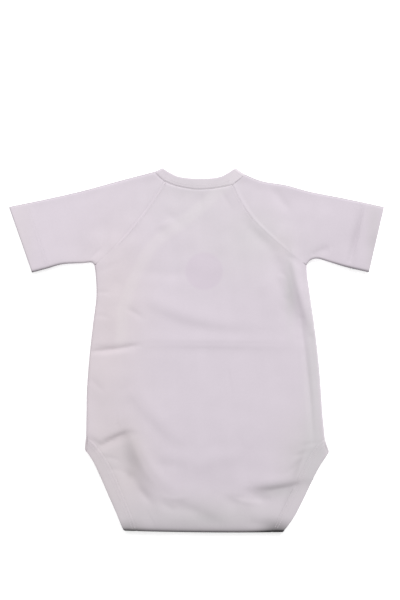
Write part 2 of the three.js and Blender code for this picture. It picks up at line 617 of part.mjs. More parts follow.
// Rows spaced evenly along a band, its last stretch left out.
function rowsAlong(rows, pieces, leftOut = 0) {
  const sums = lengths(freeEdge(rows));
  return evenly(0, sums[sums.length - 1] - leftOut, pieces).map((length) => rowAt(rows, sums, length));
}
function backLegBand(hand) {
  const rows = backLegLevels(hand, RIB).map((y) => crossing(backLegs[hand], y));
  return band(rows, LAYERS.back, { first: BACK_LEG[hand][0] });
}
function frontLegBand(hand) {
  const rows = frontLegLevels(hand).map((y) => crossing(frontLegs[hand], y));
  return band(rows, LAYERS.over, { first: BACK_LEG[hand][0] });
}

// A press stud's disc with chamfered rims, standing on its own z = 0.
function disc({ radius, height }) {
  const chamfer = height / 3;
  const profile = [
    [0, 0], [radius - chamfer, 0], [radius, chamfer],
    [radius, height - chamfer], [radius - chamfer, height], [0, height],
  ];
  const points = profile.map(([r, h]) => new THREE.Vector2(r, h));
  return new THREE.LatheGeometry(points, 18).rotateX(Math.PI / 2);
}

const group = new THREE.Group();
const cotton = { color: 0xe2d9e2, roughness: 0.92, metalness: 0 };
const rib = { color: 0xe4dce4, roughness: 0.9, metalness: 0 };
const resin = { color: 0xf0eef0, roughness: 0.35, metalness: 0 };
function piece(name, geometry, material) {
  const mesh = new THREE.Mesh(geometry, new THREE.MeshStandardMaterial(material));
  mesh.name = name;
  group.add(mesh);
  return mesh;
}
const lastOf = (rows) => rows[rows.length - 1];

piece("back_panel", backPanel(), cotton);
piece("front_over_panel", frontOverPanel(), cotton);
piece("front_under_panel", frontUnderPanel(), cotton);
for (const hand of HANDS) piece(`sleeve_${hand}`, sleeve(hand), cotton);

const neckRows = {
  back: rowsAlong(backNeck.slice(1, -1), 14),
  over: rowsAlong(overNeck.slice(1), 20, ROLL_REACH),
  under: rowsAlong(underNeck.slice(1), 20),
};
const neckEnds = {
  back: { first: BACK_NECK[0], last: lastOf(BACK_NECK) },
  over: { first: OVER_NECK[0], last: lastOf(OVER_NECK) },
  under: { first: UNDER_NECK[0] },
};
for (const side of ["back", "over", "under"]) {
  piece(`neck_binding_${side}`, band(neckRows[side], LAYERS[side], neckEnds[side]), rib);
}
for (const hand of HANDS) {
  piece(`leg_binding_back_${hand}`, backLegBand(hand), rib);
  piece(`leg_binding_front_${hand}`, frontLegBand(hand), rib);
}

CROTCH_STUDS.forEach(({ x, y }, i) => {
  piece(`crotch_snap_cap_${i + 1}`, disc(CAP), resin).position.set(x, y, 0);
  piece(`crotch_snap_stud_${i + 1}`, disc(STUD), resin).position.set(x, y, CAP_LIFT + CLOTH + GAP);
});
piece("side_snap_cap", disc(CAP), resin).position.set(SIDE_STUD.x, SIDE_STUD.y, 0);
piece("side_snap_stud", disc(STUD), resin).position.set(SIDE_STUD.x, SIDE_STUD.y, CAP_LIFT + RIB + GAP);
export default group;
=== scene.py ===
# A baby's short-sleeved raglan bodysuit, laid flat with its back upwards, on a pale floor.
# Places and sizes are in millimetres, as in the part, and become metres where a mesh is made.
import math

import bpy
import numpy as np
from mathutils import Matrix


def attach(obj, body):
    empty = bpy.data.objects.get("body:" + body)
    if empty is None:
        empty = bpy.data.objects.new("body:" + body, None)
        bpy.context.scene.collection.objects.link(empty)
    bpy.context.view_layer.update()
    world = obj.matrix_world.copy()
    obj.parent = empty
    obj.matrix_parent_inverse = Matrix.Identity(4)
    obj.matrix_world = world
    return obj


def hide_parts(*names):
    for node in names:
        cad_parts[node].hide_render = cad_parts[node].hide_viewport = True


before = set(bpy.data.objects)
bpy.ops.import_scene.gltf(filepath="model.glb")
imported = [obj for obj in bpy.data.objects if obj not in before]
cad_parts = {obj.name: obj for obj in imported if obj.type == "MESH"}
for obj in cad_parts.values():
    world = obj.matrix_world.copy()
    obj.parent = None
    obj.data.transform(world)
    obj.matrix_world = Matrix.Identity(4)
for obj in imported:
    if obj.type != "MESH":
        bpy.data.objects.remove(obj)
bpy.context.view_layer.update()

MM = 0.001
TINY = 1e-9

# Cloth and how it lies, as in the part
CLOTH, RIB, HEM = 1.2, 1.8, 0.9  # walls, and how much a hem adds
RIB_EXTRA = RIB - CLOTH
GAP = 0.3
SEAM = 0.05  # clearance in plan between two sewn pieces
SLACK = 0.25
ROLL_OUT = 1.5  # where a rolled edge has opened out flat
ROLL_STEPS, NARROW = 7, 18  # places in a roll, and the width below which they close up
EDGE_HEIGHT, EDGE_FADE = 6, 6
EDGE_MIDDLE = EDGE_HEIGHT / 2
HEM_WIDTH, NECK_BAND, LEG_BAND = 20, 11, 14
LEG_BANDS_TOP, LEG_END = -80, -190
CROTCH_RADIUS = 3.2
FOLD_LINE = (-191.5, 1.8, 38, 110)  # the crotch fold: y, and how far it bows from a middle over a half width
FLAP_END, FRONT_END, LEG_SPARE = -147, -180, 6
FRONT_INSET, FRONT_INSET_FADE = 3.5, (-98, -128)
UNDER_HEM = 7.6
UNDER_INSET, UNDER_INSET_FADE = 3.6, (49, 45)
WRAP_END = 8  # what is left of the outer wrap band for its rolled end
CORNER_DROP = 1.5
TUCKED = 0.5  # how far the cloth's corner at the hip goes under the leg band's end
CLIMB = (-18, -5)  # where one panel climbs onto another, as distances inside the other's edge
FLAP_CLIMB, HEM_CLIMB = (8, 1), (9, 2)  # the same from the flap's end and the inner panel's hem
BAND_FADE = (0.5, 4)  # how far past a band its thickness dies away
CAP_RADIUS, CAP_HEIGHT, STUD_HEIGHT = 4.8, 0.6, 0.8
CAP_LIFT, STUD_LIFT = CAP_HEIGHT + GAP, STUD_HEIGHT + GAP
STUD_PLATEAU, STUD_SLOPE, STUD_FADE = 5, 12, (2, 9)
CROTCH_STUDS = [(-25.5, -160), (7, -160.5), (39.5, -160)]
SIDE_STUD = (86.3, 66.2)

# The outline's rolled edges, the seams and the bands, as in the part
OVERARM = {
    "left": [(-196.8, 150.6), (-157, 158.8), (-119.7, 167.3), (-82, 177.6), (-44.5, 187.4)],
    "right": [(196.8, 150.4), (157.5, 158.9), (119.7, 166.3), (94.5, 173.2), (69.3, 177.4), (50.9, 184.6)],
}
SHOULDER = {
    "left": [(-44.5, 187.4), (-35.7, 191.4), (-32, 193.1)],
    "right": [(50.9, 184.6), (41, 191.4), (37.7, 193.7)],
}
UNDERARM = {
    "left": [(-172.6, 81.6), (-157.5, 85.6), (-141, 90.2), (-119.7, 91.4), (-110.5, 92.2), (-107.2, 89.2)],
    "right": [(180.8, 81.8), (157.5, 87.2), (140, 92.4), (127, 96.2), (119.5, 94.2), (115.6, 89.6)],
}
SIDE = {
    "left": [
        (-107.2, 89.2), (-105.8, 77), (-105.2, 56), (-108.7, 27), (-112.4, -6), (-115, -40), (-115.6, -70),
        (-116, -89.5),
    ],
    "right": [
        (115.6, 89.6), (116.4, 77), (120, 52), (125.3, 14.4), (129.4, -25), (132.2, -65), (134.9, -92.5),
    ],
}
HIP = {
    "left": [(-116, -89.5), (-117.4, -103.8), (-118, -110)],
    "right": [(134.9, -92.5), (139.2, -106.3), (141, -112)],
}
RAGLAN = {
    "left": [(-33.7, 177.3), (-51, 151), (-69.8, 127.2), (-88, 107.5), (-107.2, 89.2)],
    "right": [(38.3, 174), (46.4, 157.4), (61, 136), (82, 115.8), (99.5, 101), (115.6, 89.6)],
}
# Bands as rows of the sewn edge and the free edge: (seam x, seam y, free x, free y)
BACK_NECK = [
    (-44.5, 187.4, -35.7, 191.4), (-33.7, 177.3, -30.6, 188), (-20, 172.2, -19.5, 182.6),
    (-2.3, 169, -5, 180.5), (14, 169.4, 13, 180.5), (28.5, 171.6, 25.5, 182.4), (38.3, 174, 34, 186.8),
    (50.9, 184.6, 41, 191.4),
]
OVER_NECK = [
    (-44.5, 187.4, -35.7, 191.4), (-33.7, 177.3, -25, 182.6), (-5.5, 147.5, 2, 155.2),
    (27, 113.5, 34.6, 121.2), (62, 80, 69.2, 88), (92, 54.5, 98.8, 63.2), (123.1, 31, 120.8, 46.5),
]
UNDER_NECK = [
    (50.9, 184.6, 41, 191.4), (38.3, 174, 29.5, 180.6), (14, 151.5, 6.5, 159.5), (-10, 131, -17.2, 139.4),
    (-37.5, 110.5, -46.5, 117.6), (-53.5, 87, -63.8, 91.5), (-64.2, 64, -75, 67.4),
    (-71.8, 40, -82.8, 41.4), (-74, 7.6, -85, 7.6),
]
BACK_LEG = {
    "left": [
        (-116, -89.5, -117.4, -103.8), (-107, -98.5, -112, -111), (-98.5, -109, -107, -119.5),
        (-91, -121, -102.5, -129), (-85, -133.5, -98, -139), (-78.5, -148.5, -91.8, -153.5),
        (-71.2, -166, -84.8, -169.5), (-64.5, -182, -78.5, -184.8), (-62, -190, -76.2, -190),
        (-61, -199, -75, -199), (-57, -238, -71, -238),
    ],
    "right": [
        (134.9, -92.5, 139.2, -106.3), (125.5, -100.5, 134.6, -113.5), (118.5, -110.5, 129.6, -121),
        (112, -122.5, 124, -131.5), (106, -135, 117.8, -144.5), (98, -151.5, 110.3, -160),
        (90, -167.5, 102.6, -174.5), (83, -181, 96, -184), (79, -190, 91.5, -190),
        (77, -199, 89, -199), (72.5, -238, 85.5, -238),
    ],
}

# The back's height before folds: (y, height)
DRAPE = [
    (195, 3.4), (170, 4.6), (120, 5.2), (60, 5.4), (8, 5.4), (-40, 5.8), (-100, 6.6), (-145, 6.8),
    (-178, 6.4), (-192, 4.8),
]
# Broad swellings: (x, y, half width, half length, height)
SWELLINGS = [
    (20, -96, 68, 50, 1.1), (74, 66, 34, 46, 1.7), (-62, -30, 30, 40, 0.4), (160, 122, 50, 40, 1.3),
    (-150, 122, 50, 40, 0.5),
]
# Folds: x and y of a bowed line's start, middle and end, half widths above and below it, and height
FOLDS = [
    # Waist: crease and pinch
    (-62, 8.4, 20, 8.2, 112, 7.2, 9, 6, 0.9), (-112, 1.2, -90, 2.2, -66, 5.2, 3, 4, -1.5),
    # Rib fold and its trough, chest trough, and armpit trough
    (-68, 62, -32, 30, 54, 25, 15, 10, 1.6), (-62, 56, -30, 22, 56, 19, 7, 7, -0.9),
    (-60, 81, -38, 79, -14, 80, 6, 6, -0.5),
    (82, 102, 87, 66, 108, 14, 8, 8, -2.4),
    # Hip fold and its trough, and the seat's smile
    (-72, -36, -54, -66, -22, -92, 11, 7, 1.1), (-66, -44, -50, -76, -26, -98, 7, 8, -0.6),
    (-44, -104, 6, -134, 54, -98, 12, 10, 0.9),
    # Left hip crease, leg hollow and leg ridge
    (-102, -102, -88, -91, -70, -87, 4, 6, -2), (-80, -88, -76, -120, -54, -162, 10, 17, -2.4),
    (-66, -86, -58, -122, -24, -146, 7, 8, 1.2),
    # Right leg hollow, and the flap's hollow
    (54, -152, 82, -152, 112, -142, 6, 13, -3), (-24, -170, 0, -173, 22, -176, 7, 7, -0.7),
    # Sleeve crease, shoulder streak and right underarm
    (166, 152, 161, 124, 157, 92, 4, 4, -0.6), (80, 172, 88, 156, 98, 146, 5, 5, -0.9),
    (120, 98, 130, 104, 140, 108, 4, 5, -1.1),
]
# Finer creases, which the part leaves to this scene, in the same form
CREASES = [
    # Waist; groove down the right side; the right armpit's flank and lip
    (-112, -0.8, -92, -0.2, -60, 6.2, 1.4, 3.2, -1.5), (-62, 7.6, 20, 7.4, 100, 6.6, 1.6, 1.4, -0.28),
    (-40, 3, 0, 2, 60, 1, 3, 9, -0.3),
    (109.5, 34, 117.5, -28, 122, -96, 2.6, 2.4, -1.8), (114.8, 20, 119.8, -30, 123.4, -92, 1.2, 1.2, -0.4),
    (84, 96, 91, 66, 109, 24, 6, 6, -1.2), (100, 99, 106, 64, 121, 20, 7, 3.5, 2.4),
    # Left hip and leg
    (-102, -101, -88, -92, -72, -86, 2, 5, -1.7), (-78, -92, -74, -122, -54, -158, 7, 7, -0.7),
    (-77, -126, -72, -131, -66, -135, 4, 4, -1), (-62, -142, -56, -152, -47, -160, 5, 4, -1.2),
    (-94, -104, -86, -128, -68, -160, 6, 5, 0.2), (-68, -88, -62, -122, -42, -142, 3, 4, 0.5),
    (-100, -112, -90, -112, -80, -116, 2, 2, -0.4), (-94, -126, -86, -124, -78, -127, 2, 2, -0.4),
    # Right leg, right sleeve's hem, and the middle of the back
    (62, -138, 84, -139.5, 110, -131, 5, 4, 0.5), (60, -146, 88, -148, 115, -138, 2.6, 9, -1.4),
    (58, -152, 68, -158, 80, -156, 5, 5, -0.9),
    (173.8, 151.5, 169, 118, 161.5, 94, 1.8, 1.8, -1.5), (177, 150, 172.3, 118, 165, 93, 1.8, 1.8, 0.6),
    (33, -20, 34, -30, 35, -42, 1.2, 1.2, -0.3),
    # Seat, crotch fold, ribs and armpits
    (-44, -116, -30, -122, -8, -120, 7, 6, -0.5), (12, -96, 30, -106, 54, -100, 9, 8, -0.5),
    (-36, -153, -24, -158, -8, -153, 2, 2, 0.35), (40, -155, 56, -163, 72, -159, 2, 2, 0.4),
    (-26, -160, -10, -167, 6, -170, 6, 6, -1.1), (27, -153, 36, -160, 46, -163, 5, 7, -0.8),
    (2, -172, 14, -178, 28, -181, 7, 8, -0.9), (-38, -158, -30, -166, -20, -168, 4, 4, -0.6),
    (-73, 44, -66, 40, -57, 34, 3, 3, -0.5), (-113, 93, -106, 101, -99, 108, 2.5, 2.5, -0.6),
    (-104, 80, -94, 88, -80, 92, 3, 3, -0.3), (108, 88, 101, 97, 93, 101, 3, 3, -0.5),
    # Gathers of the right leg band, and pleats of the left side
    (128, -97, 118, -99, 108, -100, 1.6, 1.6, -0.4), (116, -106, 109, -110, 102, -111, 1.8, 1.8, -0.5),
    (112, -114, 103, -122, 97, -128, 2, 2, -0.5),
    (-107, 62, -98, 60, -90, 61, 2, 2, -0.4), (-108, 36, -98, 37, -91, 34, 2, 2, -0.35),
    (-112, -30, -104, -36, -98, -44, 3, 3, -0.35),
    # Neck, and beside the right raglan seam
    (-14, 166, -16, 158, -22, 150, 3, 3, -0.3), (4, 165, 5, 158, 3, 150, 3, 3, -0.35),
    (26, 168, 29, 160, 36, 150, 3, 3, -0.3),
    (46, 148, 60, 126, 92, 99, 8, 9, -0.4),
    # Right end of the crotch fold, left hip's corner, and shoulder blades
    (52, -180, 66, -184, 84, -182, 6, 6, -1.2),
    (-112, -92, -104, -97, -98, -104, 3, 3, -0.9),
    (-34, 148, -26, 138, -14, 130, 5, 6, -0.5), (-46, 128, -30, 132, -14, 140, 3, 4, 0.4),
    (-46, 136, -40, 124, -28, 118, 6, 6, -0.4), (52, 132, 62, 122, 78, 106, 5, 6, -0.7),
]


# Plain arithmetic on arrays
def mix(a, b, f):
    return a + (b - a) * f


def step(start, end, v):
    f = np.clip((v - start) / (end - start), 0, 1)
    return f * f * (3 - 2 * f)


def bell(v):
    return np.exp(-v * v)


def soft_max(a, b, softness):
    return 0.5 * (a + b + np.hypot(a - b, softness))


def stacked(*parts):
    return np.stack(parts, axis=-1)


def norm(v):
    return np.linalg.norm(v, axis=-1, keepdims=True)


def smooth_line(rows, per_span=6):
    """A smooth line through rows of numbers, as closely spaced rows."""
    rows = np.array(rows, float)
    line = []
    for i in range(len(rows) - 1):
        a, b, c, d = (rows[min(max(k, 0), len(rows) - 1)] for k in range(i - 1, i + 3))
        bend, twist = 2 * a - 5 * b + 4 * c - d, 3 * (b - c) + d - a
        line += [b + 0.5 * f * (c - a + f * (bend + f * twist)) for f in np.arange(per_span) / per_span]
    line.append(rows[-1])
    return np.array(line)


def lengths(line):
    return np.append(0, np.cumsum(norm(np.diff(line[:, :2], axis=0))))


def rows_at(line, sums, length):
    """Rows of a line at lengths along it."""
    return stacked(*(np.interp(length, sums, line[:, k]) for k in range(line.shape[1])))


def crossing(line, level, column=1):
    """A falling line's row at a level of one of its columns."""
    order = np.argsort(line[:, column], kind="stable")
    return np.array([np.interp(level, line[order, column], line[order, k]) for k in range(line.shape[1])])


def moved_aside(line, distance):
    """A line moved to the left of its own direction."""
    along = np.vstack([line[1:], line[-1:]]) - np.vstack([line[:1], line[:-1]])
    along /= norm(along)
    return line + distance * stacked(-along[:, 1], along[:, 0])


def nearest(line, x, y):
    """Distance to a line, the side of it that each place is on, and how far along it is."""
    best, side, share = np.full(x.shape, np.inf), np.ones(x.shape), np.zeros(x.shape)
    for i in range(1, len(line)):
        ax, ay = line[i - 1][:2]
        dx, dy = line[i][0] - ax, line[i][1] - ay
        f = np.clip(((x - ax) * dx + (y - ay) * dy) / (dx * dx + dy * dy), 0, 1)
        ox, oy = x - ax - f * dx, y - ay - f * dy
        distance = np.hypot(ox, oy)
        closer = distance < best
        best = np.where(closer, distance, best)
        side = np.where(closer, np.where(dx * oy - dy * ox >= 0, 1.0, -1.0), side)
        share = np.where(closer, (i - 1 + f) / (len(line) - 1), share)
    return best, side, share


HANDS = ("left", "right")
SIGN = {"left": 1, "right": -1}
sides, overarms, underarms, raglans, back_legs = (
    {h: smooth_line(table[h]) for h in HANDS} for table in (SIDE, OVERARM, UNDERARM, RAGLAN, BACK_LEG)
)
body_raglans = {h: moved_aside(raglans[h], SIGN[h] * SEAM / 2) for h in HANDS}
rolled_edges = [np.array(t[h], float) for h in HANDS for t in (overarms, SHOULDER, underarms, sides, HIP)]
back_neck = np.vstack([BACK_NECK[:1], smooth_line(BACK_NECK[1:-1]), BACK_NECK[-1:]])
over_neck = np.vstack([OVER_NECK[:1], smooth_line(OVER_NECK[1:])])
under_neck = np.vstack([UNDER_NECK[:1], smooth_line(UNDER_NECK[1:])])
front_legs = {h: back_legs[h][back_legs[h][:, 1] > FRONT_END - LEG_SPARE].copy() for h in HANDS}
for hand, rows in front_legs.items():
    rows[:, [0, 2]] += (SIGN[hand] * FRONT_INSET * step(*FRONT_INSET_FADE, rows[:, 1]))[:, None]
leg_free = {h: back_legs[h][back_legs[h][:, 3] > LEG_END][:, 2:] for h in HANDS}
ARMPIT = {h: SIDE[h][0][1] for h in HANDS}
HIPS = {h: BACK_LEG[h][0][1] for h in HANDS}
cuffs = {h: np.array([UNDERARM[h][0], OVERARM[h][0]], float) for h in HANDS}


def edge_distance(x, y):
    return np.minimum.reduce([nearest(line, x, y)[0] for line in rolled_edges])


def way_out(x, y):
    """The level way out to the nearest rolled edge."""
    s = 0.05
    out = stacked(
        edge_distance(x - s, y) - edge_distance(x + s, y),
        edge_distance(x, y - s) - edge_distance(x, y + s),
        np.zeros(x.shape),
    )
    return out / np.maximum(norm(out), TINY)


def opened(distance, cloth):
    """How far a rolled edge has opened out: 0 at its outermost point, 1 where the cloth is flat."""
    f = np.clip((distance - cloth / 2) / ROLL_OUT, 0, 1)
    return np.sqrt(1 - (1 - f) ** 2)


def inside_over(x, y):
    distance, side, _ = nearest(over_neck[:, 2:], x, y)
    return -side * distance


def inside_under(x, y):
    distance, side, _ = nearest(under_neck[:, 2:], x, y)
    return side * distance


def on_band(width, distance):
    return 1 - step(*BAND_FADE, distance - width)


def nearer(lines, x, y):
    return np.minimum(nearest(lines["left"], x, y)[0], nearest(lines["right"], x, y)[0])


def leg_band_share(x, y):
    return np.where(y > LEG_BANDS_TOP, 0, on_band(LEG_BAND, nearer(leg_free, x, y)))


def rib_share(x, y):
    return np.maximum(leg_band_share(x, y), on_band(NECK_BAND, nearest(back_neck[:, 2:], x, y)[0]))


def hem_share(x, y):
    return on_band(HEM_WIDTH, nearer(cuffs, x, y))


def plateau(distance):
    return 1 - step(STUD_PLATEAU, STUD_PLATEAU + STUD_SLOPE, distance - CAP_RADIUS)


def side_rise(x, y):
    return plateau(np.hypot(x - SIDE_STUD[0], y - SIDE_STUD[1]))


def crotch_rise(x, y):
    first, last = CROTCH_STUDS[0], CROTCH_STUDS[-1]
    beyond = np.maximum(np.maximum(first[0] - x, x - last[0]), 0)
    return plateau(beyond) * (1 - step(*STUD_FADE, np.abs(y - first[1]) - CAP_RADIUS))


def flap_base(x, y):
    return CAP_LIFT * crotch_rise(x, y)


def over_base(x, y):
    flap = (RIB + GAP) * step(*FLAP_CLIMB, y - FLAP_END)
    studs = (CAP_LIFT + CLOTH + GAP + STUD_LIFT - RIB - GAP) * crotch_rise(x, y)
    return flap + studs + CAP_LIFT * side_rise(x, y)


def under_base(x, y):
    inside = inside_over(x, y)
    over = CLOTH + GAP + SLACK / 2 + RIB_EXTRA * on_band(NECK_BAND, inside)
    return over * step(*CLIMB, inside) + (CAP_LIFT + STUD_LIFT) * side_rise(x, y)


def lower_top(x, y):
    """Top of everything that lies below the back."""
    in_over, in_under = inside_over(x, y), inside_under(x, y)
    hem = HEM * hem_share(x, y)
    over_cloth = step(*CLIMB, in_over) * (CLOTH + RIB_EXTRA * on_band(NECK_BAND, in_over))
    over = over_base(x, y) + over_cloth + RIB_EXTRA * leg_band_share(x, y) + hem
    under = under_base(x, y) + CLOTH + RIB_EXTRA * on_band(NECK_BAND, in_under) + hem
    covered = step(*CLIMB, in_under) * step(*HEM_CLIMB, UNDER_HEM - y)
    return mix(over, np.maximum(over, under), covered)


def fold_heights(folds, x, y):
    height = np.zeros(x.shape)
    f = np.linspace(0, 1, 15)[:, None]
    for *places, above, below, rise in folds:
        start, by, end = np.array(places).reshape(3, 2)
        line = mix(mix(start, by, f), mix(by, end, f), f)
        distance, side, share = nearest(line, x, y)
        turn = 1 if end[0] >= start[0] else -1
        width = np.where(side * turn > 0, above, below)
        ends = np.sin(np.pi * np.clip(share, 0.04, 0.96)) ** 0.6
        height += rise * ends * bell(distance / width)
    return height


# Slight unevenness of laid cotton, as a sum of waves in all directions
SEED, WAVES, SHORTEST, LONGEST, UNEVEN = 5, 40, 13, 80, 0.035


def unevenness(x, y):
    draw = np.random.default_rng(SEED)
    total = np.zeros(x.shape)
    for _ in range(WAVES):
        length = SHORTEST * (LONGEST / SHORTEST) ** draw.random()
        heading, phase = draw.random(2) * 2 * np.pi
        along = (x * np.cos(heading) + y * np.sin(heading)) / length
        total += (length / 30) ** 0.8 * np.sin(2 * np.pi * along + phase)
    low, high, left = step(-70, -125, y), step(40, 90, y), step(-45, -80, x) * step(-110, -80, y)
    share = (0.75 + 0.25 * low + 0.4 * high + 0.5 * left) * (1 - 0.45 * step(-105, -125, x))
    return UNEVEN * total * share


# Raglan seams: how deep the groove is; how high the seam allowance's ridge is, where, and how wide towards
# the body and the sleeve; and between which shares of the seam's length both die away
SEAMS = {"left": (0.45, 0.35, 2.4, 1.6, 1.4, (0.5, 0.76)), "right": (0, 0.6, -0.6, 14, 1.5, (0.45, 0.9))}
# Depth and half width of the grooves of the neck seam, the stitch rows and the leg seams
NECK_GROOVE, ROW_GROOVE, LEG_GROOVE = (0.5, 0.9), (0.22, 0.7), (0.1, 0.9)
# Coverstitching: how far its rows are from the seams, its stitch and space, and where it ends
STITCH_ROWS, LEG_STITCH_ROWS = (1.6, 4.4), (1.8, 4.6)
COVERSTITCH, BULGE = (2.1, 0.5), 0.1
LEG_STITCHES_END = -189
UP_THE_SLEEVE = {"left": (1, 0.12), "right": (-1, 0.05)}


def seam_relief(x, y):
    relief = np.zeros(x.shape)
    for h in HANDS:
        groove, ridge, at, body_side, sleeve_side, fade = SEAMS[h]
        distance, side, share = nearest(raglans[h], x, y)
        to_body = side * SIGN[h] * distance
        fade = 1 - 0.95 * step(*fade, share)
        relief -= groove * fade * bell(distance / 0.8)
        relief += ridge * fade * bell((to_body - at) / np.where(to_body > at, body_side, sleeve_side))
    distance, side, share = nearest(back_neck[:, :2], x, y)
    relief -= NECK_GROOVE[0] * bell(distance / NECK_GROOVE[1]) * (1 - step(0.93, 0.975, share))
    for row in STITCH_ROWS:
        relief -= ROW_GROOVE[0] * bell((side * distance - row) / ROW_GROOVE[1])
    for h in HANDS:
        relief -= LEG_GROOVE[0] * bell(nearest(back_legs[h][:, :2], x, y)[0] / LEG_GROOVE[1])
    return relief


# Cloth bridges what lies below it: its lowest level, spread and smoothed on a grid in plan
CELL, SPREAD, BLUR, REACH = 3, 3, 1.8, 204
cells = np.arange(-REACH, REACH + CELL, CELL, dtype=float)


def bridged(heights):
    spread = heights.copy()
    for i in range(-SPREAD, SPREAD + 1):
        for j in range(-SPREAD, SPREAD + 1):
            if i * i + j * j <= SPREAD * SPREAD:
                spread = np.maximum(spread, np.roll(heights, (i, j), (0, 1)))
    offsets = np.arange(-5, 6)
    weights = bell(offsets / (BLUR * math.sqrt(2)))
    weights /= weights.sum()
    for axis in (0, 1):
        spread = sum(w * np.roll(spread, k, axis) for k, w in zip(offsets, weights))
    return spread


support = bridged(lower_top(*np.meshgrid(cells, cells)))


def supported(x, y):
    fx, fy = (x + REACH) / CELL, (y + REACH) / CELL
    i, j = np.clip(fy.astype(int), 0, len(cells) - 2), np.clip(fx.astype(int), 0, len(cells) - 2)
    v, u = np.clip(fy - i, 0, 1), np.clip(fx - j, 0, 1)
    low = mix(support[i, j], support[i, j + 1], u)
    return mix(low, mix(support[i + 1, j], support[i + 1, j + 1], u), v)


def top_level(x, y):
    """Middle surface of the topmost cloth, rolled edges left out."""
    cloth = CLOTH + RIB_EXTRA * rib_share(x, y)
    above = GAP + cloth / 2 + HEM * hem_share(x, y)
    resting = lower_top(x, y) + above
    height = np.interp(y, *zip(*DRAPE[::-1]))
    for sx, sy, half_width, half_length, rise in SWELLINGS:
        height += rise * bell((x - sx) / half_width) * bell((y - sy) / half_length)
    inner = soft_max(supported(x, y) + above + SLACK, height + fold_heights(FOLDS, x, y), 1.5)
    edge = bell(np.maximum(edge_distance(x, y) - ROLL_OUT, 0) / EDGE_FADE)
    level = mix(inner, np.maximum(inner, EDGE_HEIGHT - CLOTH / 2), edge)
    fine = fold_heights(CREASES, x, y) + unevenness(x, y) + seam_relief(x, y)
    return np.maximum(level + fine, resting)


def rolled(level, x, y, cloth):
    rim = EDGE_MIDDLE + np.sign(level - EDGE_MIDDLE) * GAP / 2
    return mix(rim, level, opened(edge_distance(x, y), cloth))


def fold_start(x):
    y, bow, middle, half_width = FOLD_LINE
    return y + bow * ((x - middle) / half_width) ** 2 + CROTCH_RADIUS


def back_layer(x, y, cloth):
    """The back runs over the crotch fold and on as the flap."""
    start = fold_start(x)
    radius = CROTCH_RADIUS - cloth / 2
    turn = np.clip((start - y) / radius, 0, np.pi)
    level = top_level(x, np.maximum(y, start))
    middle = (level + cloth / 2) / 2
    beyond = np.maximum(start - y - np.pi * radius, 0)
    folded_y = start - radius * np.sin(turn) + beyond
    z = np.where(y >= start, rolled(level, x, y, cloth), middle + (level - middle) * np.cos(turn))
    z += np.where(beyond > 0, flap_base(x, folded_y), 0)
    return stacked(x, np.where(y >= start, y, folded_y), z)


def laid(level, x, y, cloth):
    return stacked(x, y, rolled(level, x, y, cloth))


def over_layer(x, y, cloth):
    return laid(over_base(x, y) + cloth / 2, x, y, cloth)


def under_layer(x, y, cloth):
    return laid(under_base(x, y) + cloth / 2, x, y, cloth)


# Soft tints of the cloth, and painted shade: (x, y, half width, half length, how warm, how grey, how dark);
# warm and grey are the cloth's own uneven colour, how dark is painted shade, and a value below zero is
# painted light
TINTS_AND_SHADE = [
    (-104, -10, 44, 105, 0.7, 0, 0), (-84, -132, 36, 50, 0.9, 0.25, 0.02), (-78, 72, 30, 64, 0.45, 0, 0),
    (10, -178, 115, 24, 0.35, 0.8, 0.05), (118, -118, 26, 42, 0.55, 0.8, 0.045), (123, -25, 9, 95, 0, 0.9, 0),
    (64, 126, 30, 26, 0.1, 0.5, 0.01), (-6, 150, 50, 28, 0.1, 0.4, 0), (187, 115, 7.5, 45, 0.3, 0.5, 0.08),
    (-184, 115, 12, 45, 0.4, 0.2, 0), (40, 100, 55, 34, 0.1, 0.35, 0), (-100, -150, 16, 50, 0.2, 0.2, 0.03),
    (84, -187, 15, 8, 0.3, 0.3, 0.4), (-70, -185, 12, 8, 0.4, 0.3, 0.14), (12, -178, 20, 6, 0.6, 0.2, 0.05),
    (-70, -106, 12, 24, 0.6, 0.2, 0.03), (86, -148, 20, 8, 0.1, 0.6, 0),
    (98, 62, 6, 36, 0, 0.8, 0.05), (3, 173, 52, 12, 0, 0.3, 0.05),
    (129, -103, 11, 10, 0.3, 0.4, 0.04), (150, 125, 40, 32, 0, 0, 0.018), (5, -153, 34, 11, 0, 0, -0.018),
    (-18, -179, 22, 8, 0, 0, 0.02), (-86, 12, 20, 13, 0, 0, -0.022), (62, 32, 26, 14, 0, 0, -0.014),
    (20, -105, 38, 24, 0, 0, 0.016), (90, 111, 13, 11, 0.35, 0.1, 0),
    (-92, -116, 13, 15, 0.2, 0.1, 0.03),
]


# Soft shade in the deepest folds, in the same form as the folds; the last number is its depth
SHADES = [
    # Left leg and hip
    (-70, -92, -58, -122, -44, -156, 9, 13, 0.06), (-78, -102, -71, -124, -61, -146, 7, 7, 0.05),
    (-75, -130, -71, -133, -67, -134, 4, 4, 0.08), (-65, -141, -60, -150, -51, -159, 5, 6, 0.04),
    (-103, -103, -88, -94, -72, -87, 2.5, 5, 0.07), (-117, -92, -112, -98, -105, -107, 5, 6, 0.08),
    # Right armpit, waist's pinch, and right leg
    (87, 93, 101, 60, 112, 24, 5, 7, 0.055), (-112, -1.6, -92, -0.8, -64, 4.5, 1.5, 2.5, 0.06),
    (64, -147, 90, -150.5, 110, -141, 8, 13, 0.1), (60, -144, 69, -152, 78, -158, 6, 6, 0.05),
    # Right raglan seam and sleeve's hem
    (48, 146, 64, 123, 96, 97, 4, 8, 0.03), (173.4, 151, 169, 125, 161, 97, 3.8, 1.6, 0.1),
    # Right leg band's seam, and crotch fold
    (114, -101, 108, -119, 102, -138, 4, 1.2, 0.085), (101, -141, 96, -152, 90, -166, 2.5, 1, 0.05),
    (-4, -168, 12, -173, 27, -182, 5, 9, 0.045), (-40, -156, -24, -166, -6, -168, 6, 6, 0.03),
]


